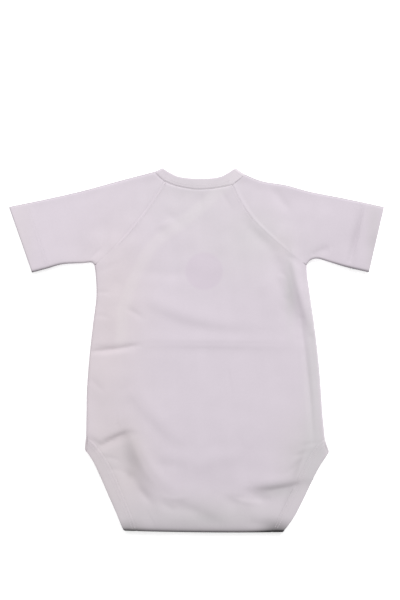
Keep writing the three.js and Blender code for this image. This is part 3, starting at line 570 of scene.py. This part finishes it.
def tones(x, y):
    """How warm and how grey the cloth is at a place, and how much shade is painted on it."""
    marks = np.zeros((3, *x.shape))
    for tx, ty, half_width, half_length, *strengths in TINTS_AND_SHADE:
        marks += np.multiply.outer(strengths, bell((x - tx) / half_width) * bell((y - ty) / half_length))
    warm, grey, painted_shade = marks
    # Painted shade along the crotch fold
    above_fold = np.maximum(y - fold_start(x) + CROTCH_RADIUS, 0)
    fold = bell(above_fold / 2.3) * (0.55 + 0.2 * step(40, 95, x)) + 0.3 * bell(above_fold / 6.2)
    # Painted shade along the sleeves' lower edges, stronger towards the cuffs
    below_arm = nearer(underarms, x, y)
    under = 0.5 * bell(below_arm / 1.7) + 0.1 * bell(below_arm / 3.5)
    under *= 0.2 + 0.8 * step(112, 168, np.abs(x))
    # Painted shade along all rolled edges, less on the right side below the armpit, and stronger along the
    # overarm edges and the left cuff
    rim = 0.14 * bell(edge_distance(x, y) / 0.9) * (1 - 0.8 * step(100, 110, x) * (y < 85))
    rim += 0.4 * bell(nearer(overarms, x, y) / 0.8) + 0.3 * bell(nearest(cuffs["left"], x, y)[0] / 0.9)
    # The inner panel's band shows through as a paler stripe
    inside = inside_under(x, y)
    stripe = step(-3, 3, inside) * (1 - step(8, 15, inside)) * step(-5, 15, y)
    painted_shade = painted_shade + fold_heights(SHADES, x, y) + fold + under + rim
    painted_shade = np.clip(painted_shade - 0.04 * stripe, -0.1, 1)
    return stacked(np.clip(warm + 0.2 * stripe, 0, 1), np.clip(grey + 0.2 * stripe, 0, 1), painted_shade)


# Meshes
def new_object(name, points, faces, smooth=True):
    """An object from points in millimetres and faces as lists of their indices."""
    mesh = bpy.data.meshes.new(name)
    mesh.from_pydata((np.array(points) * MM).tolist(), [], faces)
    mesh.polygons.foreach_set("use_smooth", np.full(len(mesh.polygons), smooth))
    mesh.update()
    piece = bpy.data.objects.new(name, mesh)
    bpy.context.collection.objects.link(piece)
    return piece


def wall(name, grid, uv, cloth=CLOTH, closed=False, lining=0, facing=1, thinner=1):
    """A closed wall around a grid of middle-surface points, in millimetres, as an object in metres."""
    rows, columns = grid.shape[:2]
    if closed:
        across = np.roll(grid, -1, axis=1) - np.roll(grid, 1, axis=1)
    else:
        across = np.gradient(grid, axis=1)
    normal = np.cross(np.gradient(grid, axis=0), across)
    normal *= facing / np.maximum(norm(normal), TINY)
    if not closed:
        rim_at = np.nonzero(np.pad(np.zeros((rows - 2, columns - 2)), 1, constant_values=1))
        rim_at = tuple(i[edge_distance(*grid[rim_at].T[:2]) < cloth / 2 + 0.4] for i in rim_at)
        out = way_out(*grid[rim_at].T[:2])
        normal[rim_at] = out * np.where((out * normal[rim_at]).sum(axis=1) < 0, -1, 1)[:, None]
    half = np.full((rows, columns), cloth / 2) * thinner
    outer, inner = grid + normal * half[..., None], grid - normal * (half + lining)[..., None]
    points = np.concatenate([outer, inner]).reshape(-1, 3)
    far = rows * columns
    index = np.arange(far).reshape(rows, columns)
    right = np.roll(index, -1, axis=1) if closed else index[:, 1:]
    left = index if closed else index[:, :-1]
    top = stacked(left[:-1], left[1:], right[1:], right[:-1]).reshape(-1, 4)
    faces = [top, top[:, ::-1] + far]

    def rim(line):
        faces.append(stacked(line[:-1], line[:-1] + far, line[1:] + far, line[1:]))

    first, last = index[0], index[-1]
    if closed:
        first, last = np.append(first, first[0]), np.append(last, last[0])
    rim(first[::-1])
    rim(last)
    if not closed:
        rim(index[:, 0])
        rim(index[::-1, -1])
    faces = np.concatenate(faces)
    if facing < 0:
        faces = faces[:, ::-1]
    piece = new_object(name, points, faces.tolist())
    corners = np.tile(uv.reshape(-1, 2), (2, 1))[faces.reshape(-1)] * MM
    piece.data.uv_layers.new(name="cloth").data.foreach_set("uv", corners.astype(np.float32).ravel())
    # Per point: the cloth's warm and grey tints, and painted shade in the third channel
    tone = piece.data.attributes.new("tone", "FLOAT_COLOR", "POINT")
    colours = np.concatenate([tones(points[:, 0], points[:, 1]), np.ones((len(points), 1))], axis=1)
    tone.data.foreach_set("color", colours.astype(np.float32).ravel())
    return piece


def roll_steps(cloth):
    return cloth / 2 + ROLL_OUT * (1 - np.cos(np.linspace(0, np.pi / 2, ROLL_STEPS)))


def across(width, pieces, rolled_ends):
    """Places across a width: close together at both ends, and even between them."""
    squeeze = min(1, width / NARROW)
    first, last = (squeeze * (roll_steps(CLOTH) - (0 if end else CLOTH / 2)) for end in rolled_ends)
    between = np.linspace(first[-1], width - last[-1], pieces + 1)[1:-1]
    return np.concatenate([first, between, (width - last)[::-1]])


def panel(name, rows, layer, pieces, bow=None):
    """A body panel from rows of (left end, right end, left rolled, right rolled, how far bowed)."""
    xs, ys = [], []
    for left, right, rolled_left, rolled_right, bowed in rows:
        width = right[0] - left[0]
        d = across(width, pieces, (rolled_left, rolled_right))
        f = d / width
        xs.append(left[0] + d)
        ys.append(mix(left[1], right[1], f) + (bow(f) * bowed if bowed else 0))
    x, y = np.array(xs), np.array(ys)
    return wall(name, layer(x, y, CLOTH), stacked(x, y))


def back_leg_levels(hand, cloth, rows):
    start = fold_start(10)
    turned = start - (CROTCH_RADIUS - cloth / 2) * math.pi
    return np.concatenate([
        np.linspace(HIPS[hand], start, rows + 1)[1:],
        np.linspace(start, turned, 13)[1:],
        np.linspace(turned, turned + start - FLAP_END, 15)[1:],
    ])


def front_leg_levels(hand):
    return np.linspace(HIPS[hand], FRONT_END, 36)[2:]


def ends_at(lines, y, gap=0):
    """A row's left and right end, a gap inside the lines."""
    return [(crossing(lines[h], y[h])[0] + SIGN[h] * gap, y[h]) for h in HANDS]


def leg_rows(legs, levels_of):
    columns = [np.append(HIPS[h] - CORNER_DROP, levels_of(h)) for h in HANDS]
    pairs = [dict(zip(HANDS, pair)) for pair in zip(*columns)]
    gaps = [-TUCKED, -TUCKED] + [SEAM] * (len(pairs) - 2)
    return [(*ends_at(legs, y, gap), False, False, 0) for y, gap in zip(pairs, gaps)]


def side_rows(start, end, count):
    levels = [{h: mix(start[h], end[h], f) for h in HANDS} for f in np.linspace(0, 1, count + 1)]
    return [(*ends_at(sides, y), True, True, 0) for y in levels]


def back_panel():
    neck = back_neck[1:-1]
    rows = []
    for f in np.linspace(0, 1, 50)[:-1]:
        y = {h: mix(neck[end][1], ARMPIT[h], f) - SEAM * (1 - f) for h, end in (("left", 0), ("right", -1))}
        rows.append((*ends_at(body_raglans, y), False, False, (1 - f) ** 3))
    rows += side_rows(ARMPIT, HIPS, 100)
    rows += leg_rows(back_legs, lambda h: back_leg_levels(h, CLOTH, 50)[1:])
    (x_left, y_left), (x_right, y_right) = rows[0][:2]

    def bow(f):
        return np.interp(mix(x_left, x_right, f), neck[:, 0], neck[:, 1]) - SEAM - mix(y_left, y_right, f)

    return panel("back_cloth", rows, back_layer, pieces=130, bow=bow)


def wrap_rows(hand, diagonal, top, end, counts):
    """Rows between the side that a wrap panel is sewn to and its diagonal edge, past the armpit."""
    above, below = np.linspace(top, ARMPIT[hand], counts[0])[:-1], np.linspace(ARMPIT[hand], end, counts[1])
    rows = []
    for y in np.concatenate([above, below]):
        rolled_side = y <= ARMPIT[hand] + 0.01
        side = crossing((sides if rolled_side else body_raglans)[hand], y)[0]
        edge = (crossing(diagonal, y)[0], y)
        if hand == "left":
            rows.append(((side, y), edge, rolled_side, False, 0))
        else:
            inset = max(UNDER_INSET * step(*UNDER_INSET_FADE, y), GAP)
            rows.append((edge, (side - inset, y), False, rolled_side, 0))
    return rows


def front_over_panel():
    corner = OVER_NECK[-1][1] - GAP
    rows = wrap_rows("left", moved_aside(over_neck[1:, :2], -GAP), 176, corner + CORNER_DROP, (30, 20))
    rows += side_rows({h: corner for h in HANDS}, HIPS, 36)
    rows += leg_rows(front_legs, front_leg_levels)
    return panel("front_over_cloth", rows, over_layer, pieces=48)


def front_under_panel():
    rows = wrap_rows("right", moved_aside(under_neck[1:, :2], GAP), 172.6, UNDER_HEM, (26, 28))
    return panel("front_under_cloth", rows, under_layer, pieces=46)


SLEEVE_FLAT = (85, 110)  # half the tube's girth and its length, for the knit


def sleeve(hand):
    """A tube whose upper half lies on its lower half, from the raglan seam to the cuff."""
    seam_line = np.vstack([OVERARM[hand][-1:], moved_aside(raglans[hand], -SIGN[hand] * SEAM / 2)])
    seam_sums = lengths(seam_line)
    corner = seam_sums[1] / seam_sums[-1]
    over_line, under_line, cuff_line = (t[hand][::-1] for t in (overarms, underarms, cuffs))

    def along(line, f):
        sums = lengths(line)
        return rows_at(line, sums, f * sums[-1])

    def place(u, v):
        seam, cuff = along(seam_line, u), along(cuff_line, u)
        over, under = along(over_line, v), along(under_line, v)
        between = mix(seam, cuff, v[..., None]) + mix(over, under, u[..., None])
        starts = mix(seam_line[0], cuff_line[0], v[..., None])
        ends = mix(seam_line[-1], cuff_line[-1], v[..., None])
        return between - mix(starts, ends, u[..., None])

    shares = []
    v_rows = np.concatenate([[0, 0.002], np.linspace(0.012, 0.99, 76), [0.996, 1]])
    for v in v_rows:
        over, under = along(over_line, np.array(v)), along(under_line, np.array(v))
        probe = 5 / np.linalg.norm(over - under)
        near = place(np.array([probe, 1 - probe]), np.full(2, v))
        reach = edge_distance(*near.T)
        first = roll_steps(CLOTH) * probe / reach[0]
        last = 1 - roll_steps(CLOTH) * probe / reach[1]
        shares.append(np.concatenate([
            first, np.linspace(first[-1], corner, 8)[1:], np.linspace(corner, last[-1], 56)[1:-1], last[::-1],
        ]))
    u = np.array(shares)
    v = np.repeat(v_rows[:, None], u.shape[1], axis=1)
    plan = place(u, v)
    x, y = plan[..., 0], plan[..., 1]
    upper = laid(top_level(x, y), x, y, CLOTH)
    lower = laid(np.full(x.shape, CLOTH / 2), x, y, CLOTH)
    upper[:, [0, -1], 2] = EDGE_MIDDLE
    grid = np.concatenate([upper, lower[:, -2:0:-1]], axis=1)
    uv_upper = stacked(u * SLEEVE_FLAT[0], v * SLEEVE_FLAT[1])
    uv = np.concatenate([uv_upper, uv_upper[:, -2:0:-1] * [-1, 1]], axis=1)
    lining = HEM * hem_share(grid[..., 0], grid[..., 1])
    return wall(f"sleeve_{hand}_cloth", grid, uv, closed=True, lining=lining, facing=SIGN[hand])


def band_rows(rows, spacing, left_out=0):
    """Rows spaced evenly along a band, its last stretch left out."""
    sums = lengths(rows[:, 2:])
    count = int((sums[-1] - left_out) / spacing)
    return rows_at(rows, sums, np.linspace(0, sums[-1] - left_out, count + 1))


# How thick a band is, as shares of its full thickness: at a seam that stands proud or lies flush, and from
# there to its free edge; and where across the band that is
PROUD, FLUSH = np.array([0.7, 0.9, 1, 1]), np.array([0.66, 0.7, 0.8, 0.92])
FREE_EDGE = [1, 1, 1, 1, 0.97, 0.8, 0.55, 0.25]
FROM_SEAM = np.array([0, 0.35, 1, 2, 3.5, 5.5, 7.5, 9, 10, 10.6, 10.9, 11]) / 11


def band(name, rows, layer, first=None, last=None, flush_from=None):
    """A band from rows of a sewn and a free edge, rolled at the end rows that are given.

    Its sewn edge lies flush to the right of a given place, and stands proud elsewhere.
    """
    def roll_rows(end, following):
        end = np.array(end, float)
        over = end[2:] - end[:2]
        over /= np.linalg.norm(over)
        offset = following.reshape(2, 2) - end[:2]
        shares = roll_steps(RIB)[:, None] / np.abs(over[0] * offset[:, 1] - over[1] * offset[:, 0])
        return mix(end, following, np.repeat(shares, 2, axis=1))

    parts = [rows]
    if first is not None:
        parts.insert(0, roll_rows(first, rows[0]))
    if last is not None:
        parts.append(roll_rows(last, rows[-1])[::-1])
    rows = np.vstack(parts)
    width = np.linalg.norm(rows[:, 2:] - rows[:, :2], axis=1)
    f = mix(SEAM / 2 / width[:, None], 1, FROM_SEAM)
    x = mix(rows[:, None, 0], rows[:, None, 2], f)
    y = mix(rows[:, None, 1], rows[:, None, 3], f)
    grid = layer(x, y, RIB)
    flush = np.zeros(len(rows)) if flush_from is None else step(flush_from, flush_from + 3, rows[:, 0])
    thinner = np.hstack([mix(PROUD, FLUSH, flush[:, None]), np.tile(FREE_EDGE, (len(rows), 1))])
    uv = stacked(np.repeat(lengths(rows[:, 2:])[:, None], f.shape[1], axis=1), f * width[:, None])
    return wall(name, grid, uv, cloth=RIB, thinner=thinner)


def revolved(name, profile, x, y, base, count=40):
    """A small turned part from (radius, height) pairs, standing at a place and height."""
    angle = np.linspace(0, 2 * np.pi, count, endpoint=False)
    points, faces = [(x, y, base + profile[0][1])], []
    for r, h in profile[1:-1]:
        points += [(x + r * cx, y + r * cy, base + h) for cx, cy in stacked(np.cos(angle), np.sin(angle))]
    points.append((x, y, base + profile[-1][1]))
    last = len(points) - 1
    top = last - count
    for k in range(count):
        n = (k + 1) % count
        faces.append((0, 1 + n, 1 + k))
        faces += [(low + k, low + n, low + count + n, low + count + k) for low in range(1, top, count)]
        faces.append((top + k, top + n, last))
    return new_object(name, points, faces)


def stitches(name, starts, ends, bulge, radius):
    """Short threads between pairs of points, each a six-sided capsule that bulges in its middle."""
    along = ends - starts
    length = norm(along)
    along /= length
    beside = np.cross(along, [0, 0, 1.0])
    beside /= norm(beside)
    above = np.cross(beside, along)
    places = np.array([0, 0.08, 0.3, 0.7, 0.92, 1])
    fat = np.array([0.15, 0.7, 1, 1, 0.7, 0.15])
    lift = np.array([-0.25, 0, 1, 1, 0, -0.25]) * bulge
    angle = np.linspace(0, 2 * np.pi, 6, endpoint=False)
    centre = starts[:, None] + along[:, None] * (length[:, None] * places[:, None])
    centre += above[:, None] * lift[:, None]
    ring = np.cos(angle)[:, None] * beside[:, None] + np.sin(angle)[:, None] * above[:, None]
    points = centre[:, :, None] + ring[:, None] * (radius * fat)[:, None, None]
    index = np.arange(len(starts) * 36).reshape(-1, 6, 6)
    turned = np.roll(index, -1, axis=2)
    quads = stacked(index[:, :-1], turned[:, :-1], turned[:, 1:], index[:, 1:]).reshape(-1, 4)
    caps = np.concatenate([index[:, 0, ::-1], index[:, -1]])
    return new_object(name, points.reshape(-1, 3), quads.tolist() + caps.tolist())


def surface(x, y):
    """The outside of the topmost cloth."""
    level = top_level(x, y)
    half = mix(CLOTH, RIB, rib_share(x, y) > 0.5) / 2
    return rolled(level, x, y, CLOTH) + half * np.clip((edge_distance(x, y) - 0.4) / 2.6, 0.2, 1)


def running(name, line, stitch, space, radius, aslant=0, lift=0.05, start=0, stop=1):
    """A row of stitches along a line in plan, on the topmost cloth; aslant turns each across the line."""
    line = np.array(line, float)
    sums = lengths(line)
    first = sums[-1] * start
    count = int((sums[-1] * stop - first) / (stitch + space))
    at = first + np.arange(count) * (stitch + space)
    a, b = rows_at(line, sums, at)[:, :2], rows_at(line, sums, at + stitch)[:, :2]
    heading = (b - a) / norm(b - a)
    aside = stacked(-heading[:, 1], heading[:, 0])
    a, b = a - aside * aslant / 2, b + aside * aslant / 2
    ends = [np.column_stack([p, surface(p[:, 0], p[:, 1]) + lift]) for p in (a, b)]
    finish_piece(stitches(name, *ends, BULGE, radius), thread, "jersey")


# Materials: colours, the strength of bumps, and the printed dot
PALE, PALE_RIB = (0.70, 0.635, 0.70, 1), (0.705, 0.642, 0.700, 1)
WARM, GREY = (0.705, 0.632, 0.660, 1), (0.672, 0.638, 0.667, 1)
LILAC = (0.62, 0.515, 0.63, 1)
KNIT_STRENGTH, GRAIN_STRENGTH = 0.3, 0.4
DOT_PLACE, DOT_RADIUS = (8, 83, 0), 19.5


def add_node(tree, kind, inputs=None, operation=None, data_type=None):
    """A shader node whose inputs are set to values, or linked where another node's output is given."""
    node = tree.nodes.new("ShaderNode" + kind)
    if operation:
        node.operation = operation
    if data_type:
        node.data_type = data_type
    for socket, value in (inputs or {}).items():
        if isinstance(value, bpy.types.NodeSocket):
            tree.links.new(value, node.inputs[socket])
        else:
            node.inputs[socket].default_value = value
    return node


def arithmetic(tree, operation, *values):
    return add_node(tree, "Math", dict(enumerate(values)), operation).outputs[0]


def vector(tree, operation, inputs):
    return add_node(tree, "VectorMath", inputs, operation).outputs["Vector"]


def blended(tree, share, first, second):
    inputs = {"Factor": share, "A": first, "B": second}
    return add_node(tree, "Mix", inputs, data_type="RGBA").outputs["Result"]


def noise(tree, coordinates, scale, detail, roughness):
    inputs = {"Vector": coordinates, "Scale": scale, "Detail": detail, "Roughness": roughness}
    return add_node(tree, "TexNoise", inputs).outputs["Fac"]


def new_material(name, shader_values):
    material = bpy.data.materials.new(name)
    material.use_nodes = True
    tree = material.node_tree
    tree.nodes.clear()
    shader = add_node(tree, "BsdfPrincipled", shader_values)
    add_node(tree, "OutputMaterial", {"Surface": shader.outputs["BSDF"]})
    return material, tree, shader


def surfaced(tree, shader, colour, height, depth, strength):
    """The shader with its colour, and with bumps from a height."""
    bump = add_node(tree, "Bump", {"Distance": depth * MM, "Strength": strength, "Height": height})
    tree.links.new(bump.outputs["Normal"], shader.inputs["Normal"])
    tree.links.new(colour, shader.inputs["Base Color"])


def cloth_material(name, colour, wale, course, depth, dot=None, mottle=0.05):
    """Knitted cotton: wales and courses from the cloth's own flat coordinates, with soft mottling.

    The printed dot is given as how soft its edge is, and how strong it is.
    """
    material, tree, shader = new_material(name, {
        "Roughness": 0.92, "Specular IOR Level": 0.18, "Sheen Weight": 0.12, "Sheen Roughness": 0.45,
    })
    place = add_node(tree, "TexCoord").outputs["Object"]
    flat = add_node(tree, "UVMap")
    flat.uv_map = "cloth"
    split = add_node(tree, "SeparateXYZ", {"Vector": flat.outputs["UV"]})

    def wave(axis, period):
        turned = arithmetic(tree, "MULTIPLY", split.outputs[axis], 2 * math.pi / (period * MM))
        return arithmetic(tree, "SINE", turned)

    wales = wave("X", wale)
    loops = arithmetic(tree, "MULTIPLY_ADD", wave("Y", course), 0.35, wales)
    knit = arithmetic(tree, "MULTIPLY_ADD", noise(tree, place, 2600, 3, 0.7), 0.9, loops)
    broad, fine = noise(tree, place, 16, 3, 0.55), noise(tree, place, 420, 4, 0.65)
    tone = arithmetic(tree, "MULTIPLY_ADD", broad, mottle, 1 - mottle / 2)
    tone = arithmetic(tree, "MULTIPLY_ADD", fine, 0.05, arithmetic(tree, "SUBTRACT", tone, 0.025))
    tone = arithmetic(tree, "MULTIPLY_ADD", wales, 0.012, tone)
    # The tone attribute's red and green are tints of the cloth; its blue is painted shade that darkens the
    # colour
    marks = add_node(tree, "Attribute")
    marks.attribute_name = "tone"
    parts = add_node(tree, "SeparateColor", {"Color": marks.outputs["Color"]}).outputs
    shaded = arithmetic(tree, "MULTIPLY_ADD", parts["Blue"], -0.95, 1)
    result = blended(tree, parts["Green"], blended(tree, parts["Red"], colour, WARM), GREY)
    result = vector(tree, "SCALE", {0: result, "Scale": arithmetic(tree, "MULTIPLY", tone, shaded)})
    if dot:
        soft, strength = dot
        away = vector(tree, "SUBTRACT", {0: place, 1: [v * MM for v in DOT_PLACE]})
        level = vector(tree, "MULTIPLY", {0: away, 1: (1, 1, 0)})
        reach = add_node(tree, "VectorMath", {0: level}, "LENGTH").outputs["Value"]
        inside = add_node(tree, "MapRange", {
            "Value": reach, "From Min": (DOT_RADIUS + soft) * MM, "From Max": (DOT_RADIUS - soft) * MM,
            "To Max": strength,
        })
        inside.interpolation_type = "SMOOTHSTEP"
        result = blended(tree, inside.outputs["Result"], result, LILAC)
    surfaced(tree, shader, result, knit, depth, KNIT_STRENGTH)
    return material


def plain_material(name, colour, roughness, scale, bump_depth=0.02, specular=0.4, **more):
    """Smooth stuff with slight grain, such as resin, thread or the floor."""
    more = {key.replace("_", " "): value for key, value in more.items()}
    more.update({"Roughness": roughness, "Specular IOR Level": specular})
    material, tree, shader = new_material(name, more)
    grain = noise(tree, add_node(tree, "TexCoord").outputs["Object"], scale, 3, 0.6)
    tone = arithmetic(tree, "MULTIPLY_ADD", grain, 0.05, 0.975)
    colour = vector(tree, "SCALE", {0: colour, "Scale": tone})
    surfaced(tree, shader, colour, grain, bump_depth, GRAIN_STRENGTH)
    return material


jersey = cloth_material("pale pink jersey", PALE, 0.9, 1.1, 0.05, (2, 0.27))
jersey_front = cloth_material("pale pink jersey with dot", PALE, 0.9, 1.1, 0.05, (0.2, 0.9))
rib_knit = cloth_material("pale pink rib", PALE_RIB, 1.3, 0.9, 0.06, mottle=0.03)
thread = plain_material("pale thread", (0.73, 0.675, 0.72), 0.7, 3000, Sheen_Weight=0.2)
resin = plain_material("off-white resin", (0.80, 0.78, 0.78), 0.32, 700)
glow = {"Emission_Color": (1, 1, 1, 1), "Emission_Strength": 0.45}
floor_stuff = plain_material("white board", (0.97, 0.97, 0.97), 0.9, 60, 0.01, 0.05, **glow)


def finish_piece(piece, material, slot, *nodes):
    piece.data.materials.append(material)
    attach(piece, "root")
    if nodes:
        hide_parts(*nodes)


def finish_band(where, *spec):
    piece = band("_rib_".join(where), *spec)
    finish_piece(piece, rib_knit, "rib", "_binding_".join(where))


finish_piece(back_panel(), jersey, "jersey", "back_panel")
finish_piece(front_over_panel(), jersey_front, "jersey", "front_over_panel")
finish_piece(front_under_panel(), jersey, "jersey", "front_under_panel")
for hand in HANDS:
    finish_piece(sleeve(hand), jersey, "jersey", f"sleeve_{hand}")
back_band, over_band, under_band = back_neck[1:-1], over_neck[1:], under_neck[1:]
finish_band(("neck", "back"), band_rows(back_band, 1.6), back_layer, BACK_NECK[0], BACK_NECK[-1], 35)
finish_band(("neck", "over"), band_rows(over_band, 2.5, WRAP_END), over_layer, OVER_NECK[0], OVER_NECK[-1])
finish_band(("neck", "under"), band_rows(under_band, 2.5), under_layer, UNDER_NECK[0])
for hand in HANDS:
    for where, legs, levels, layer in (
        ("back", back_legs, back_leg_levels(hand, RIB, 62), back_layer),
        ("front", front_legs, front_leg_levels(hand), over_layer),
    ):
        rows = np.array([crossing(legs[hand], y) for y in levels])
        finish_band(("leg", f"{where}_{hand}"), rows, layer, BACK_LEG[hand][0], None, -REACH)

CAP_PROFILE = [
    (0, 0), (3.4, 0), (4.4, 0.08), (4.8, 0.3), (4.6, 0.52), (4.1, 0.6), (2.6, 0.6), (2.1, 0.46), (0, 0.46),
]
STUD_PROFILE = [
    (0, 0), (3.6, 0), (4, 0.2), (3.9, 0.62), (3.5, 0.8), (2.4, 0.8), (2.1, 0.4), (1.7, 0.4), (1.4, 0.78),
    (0, 0.8),
]
spots = [(f"crotch_snap_{{}}_{i + 1}", place, CLOTH) for i, place in enumerate(CROTCH_STUDS)]
for node, place, cloth in [*spots, ("side_snap_{}", SIDE_STUD, RIB)]:
    cap_node, stud_node = node.format("cap"), node.format("stud")
    cap = revolved(f"{cap_node}_shell", CAP_PROFILE, *place, 0)
    finish_piece(cap, resin, "press_stud", cap_node)
    stud = revolved(f"{stud_node}_socket", STUD_PROFILE, *place, CAP_LIFT + cloth + GAP)
    finish_piece(stud, resin, "press_stud", stud_node)

# Sewing on what shows; a rope is the ridge that gathered stitches make beside a raglan seam
ROPE_LEFT, ROPE_RIGHT = (1.5, 0.25, 0.24, 1.2), (1.6, 0.3, 0.26, 0.8)  # stitch, space, radius, aslant
for label, row in zip(("low", "high"), STITCH_ROWS):
    line = mix(back_band[:, :2], back_band[:, 2:], row / NECK_BAND)
    running(f"neck_stitch_{label}", line, *COVERSTITCH, radius=0.24)
for hand in HANDS:
    legs = back_legs[hand][back_legs[hand][:, 1] > LEG_STITCHES_END][2:]
    for label, row in zip(("inner", "outer"), LEG_STITCH_ROWS):
        line = mix(legs[:, :2], legs[:, 2:], row / LEG_BAND)
        running(f"leg_stitch_{label}_{hand}", line, *COVERSTITCH, radius=0.15)
    for label, reach in (("near", HEM_WIDTH - 3), ("far", HEM_WIDTH)):
        line = cuffs[hand] + np.array(UP_THE_SLEEVE[hand]) * reach
        name = f"cuff_stitch_{label}_{hand}"
        running(name, line, *COVERSTITCH, radius=0.14, lift=-0.04, start=0.02, stop=0.98)
running("raglan_rope_left", moved_aside(raglans["left"], 2.2), *ROPE_LEFT, stop=0.72)
for label, aside in (("near", -0.3), ("far", -2.3)):
    rope = moved_aside(raglans["right"], aside)
    running(f"raglan_rope_right_{label}", rope, *ROPE_RIGHT, lift=-0.12, stop=0.4)

# The floor's name, and half its width in millimetres
FLOOR, FLOOR_HALF = "floor", 3000

# Floor, light and camera
floor_corners = [(FLOOR_HALF * i, FLOOR_HALF * j, 0) for i, j in ((-1, -1), (1, -1), (1, 1), (-1, 1))]
floor = new_object(FLOOR, floor_corners, [(0, 1, 2, 3)], smooth=False)
floor.data.materials.append(floor_stuff)

scene = bpy.context.scene
world = scene.world = bpy.data.worlds.new("studio")
world.use_nodes = True
sky = world.node_tree.nodes["Background"].inputs
sky["Color"].default_value, sky["Strength"].default_value = (1, 1, 1, 1), 0.536


def area_light(name, place, size, power):
    """A square light that is aimed at the origin."""
    light = bpy.data.lights.new(name, "AREA")
    light.shape, light.size, light.energy = "SQUARE", size, power
    lamp = bpy.data.objects.new(name, light)
    x, y, z = lamp.location = place
    lamp.rotation_euler = (math.atan2(math.hypot(x, y), z), 0, math.atan2(x, -y))
    bpy.context.collection.objects.link(lamp)


area_light("key", (1.5, 2.4, 2.1), size=0.9, power=64.6)
area_light("softbox", (-0.45, 0.5, 0.8), size=0.8, power=2.35)

# The photo, taken from straight above: its size, where the origin lies in it, and a pixel's width
PHOTO, ORIGIN, PIXEL = (400, 600), (196.5, 350.25), 1.05
DISTANCE, AIMED_AT = 3000, 4  # the camera's height, and the height at which the scale is right
SENSOR = 36
camera = bpy.data.objects.new("camera", bpy.data.cameras.new("camera"))
camera.data.sensor_fit, camera.data.sensor_height = "VERTICAL", SENSOR
camera.data.lens = SENSOR * (DISTANCE - AIMED_AT) / (PHOTO[1] * PIXEL)
camera.data.clip_end = 20
aside, up = (PHOTO[0] / 2 - ORIGIN[0]) * PIXEL, (ORIGIN[1] - PHOTO[1] / 2) * PIXEL
camera.location = (aside * MM, up * MM, DISTANCE * MM)
bpy.context.collection.objects.link(camera)
scene.camera = camera
scene.view_settings.view_transform = "Standard"
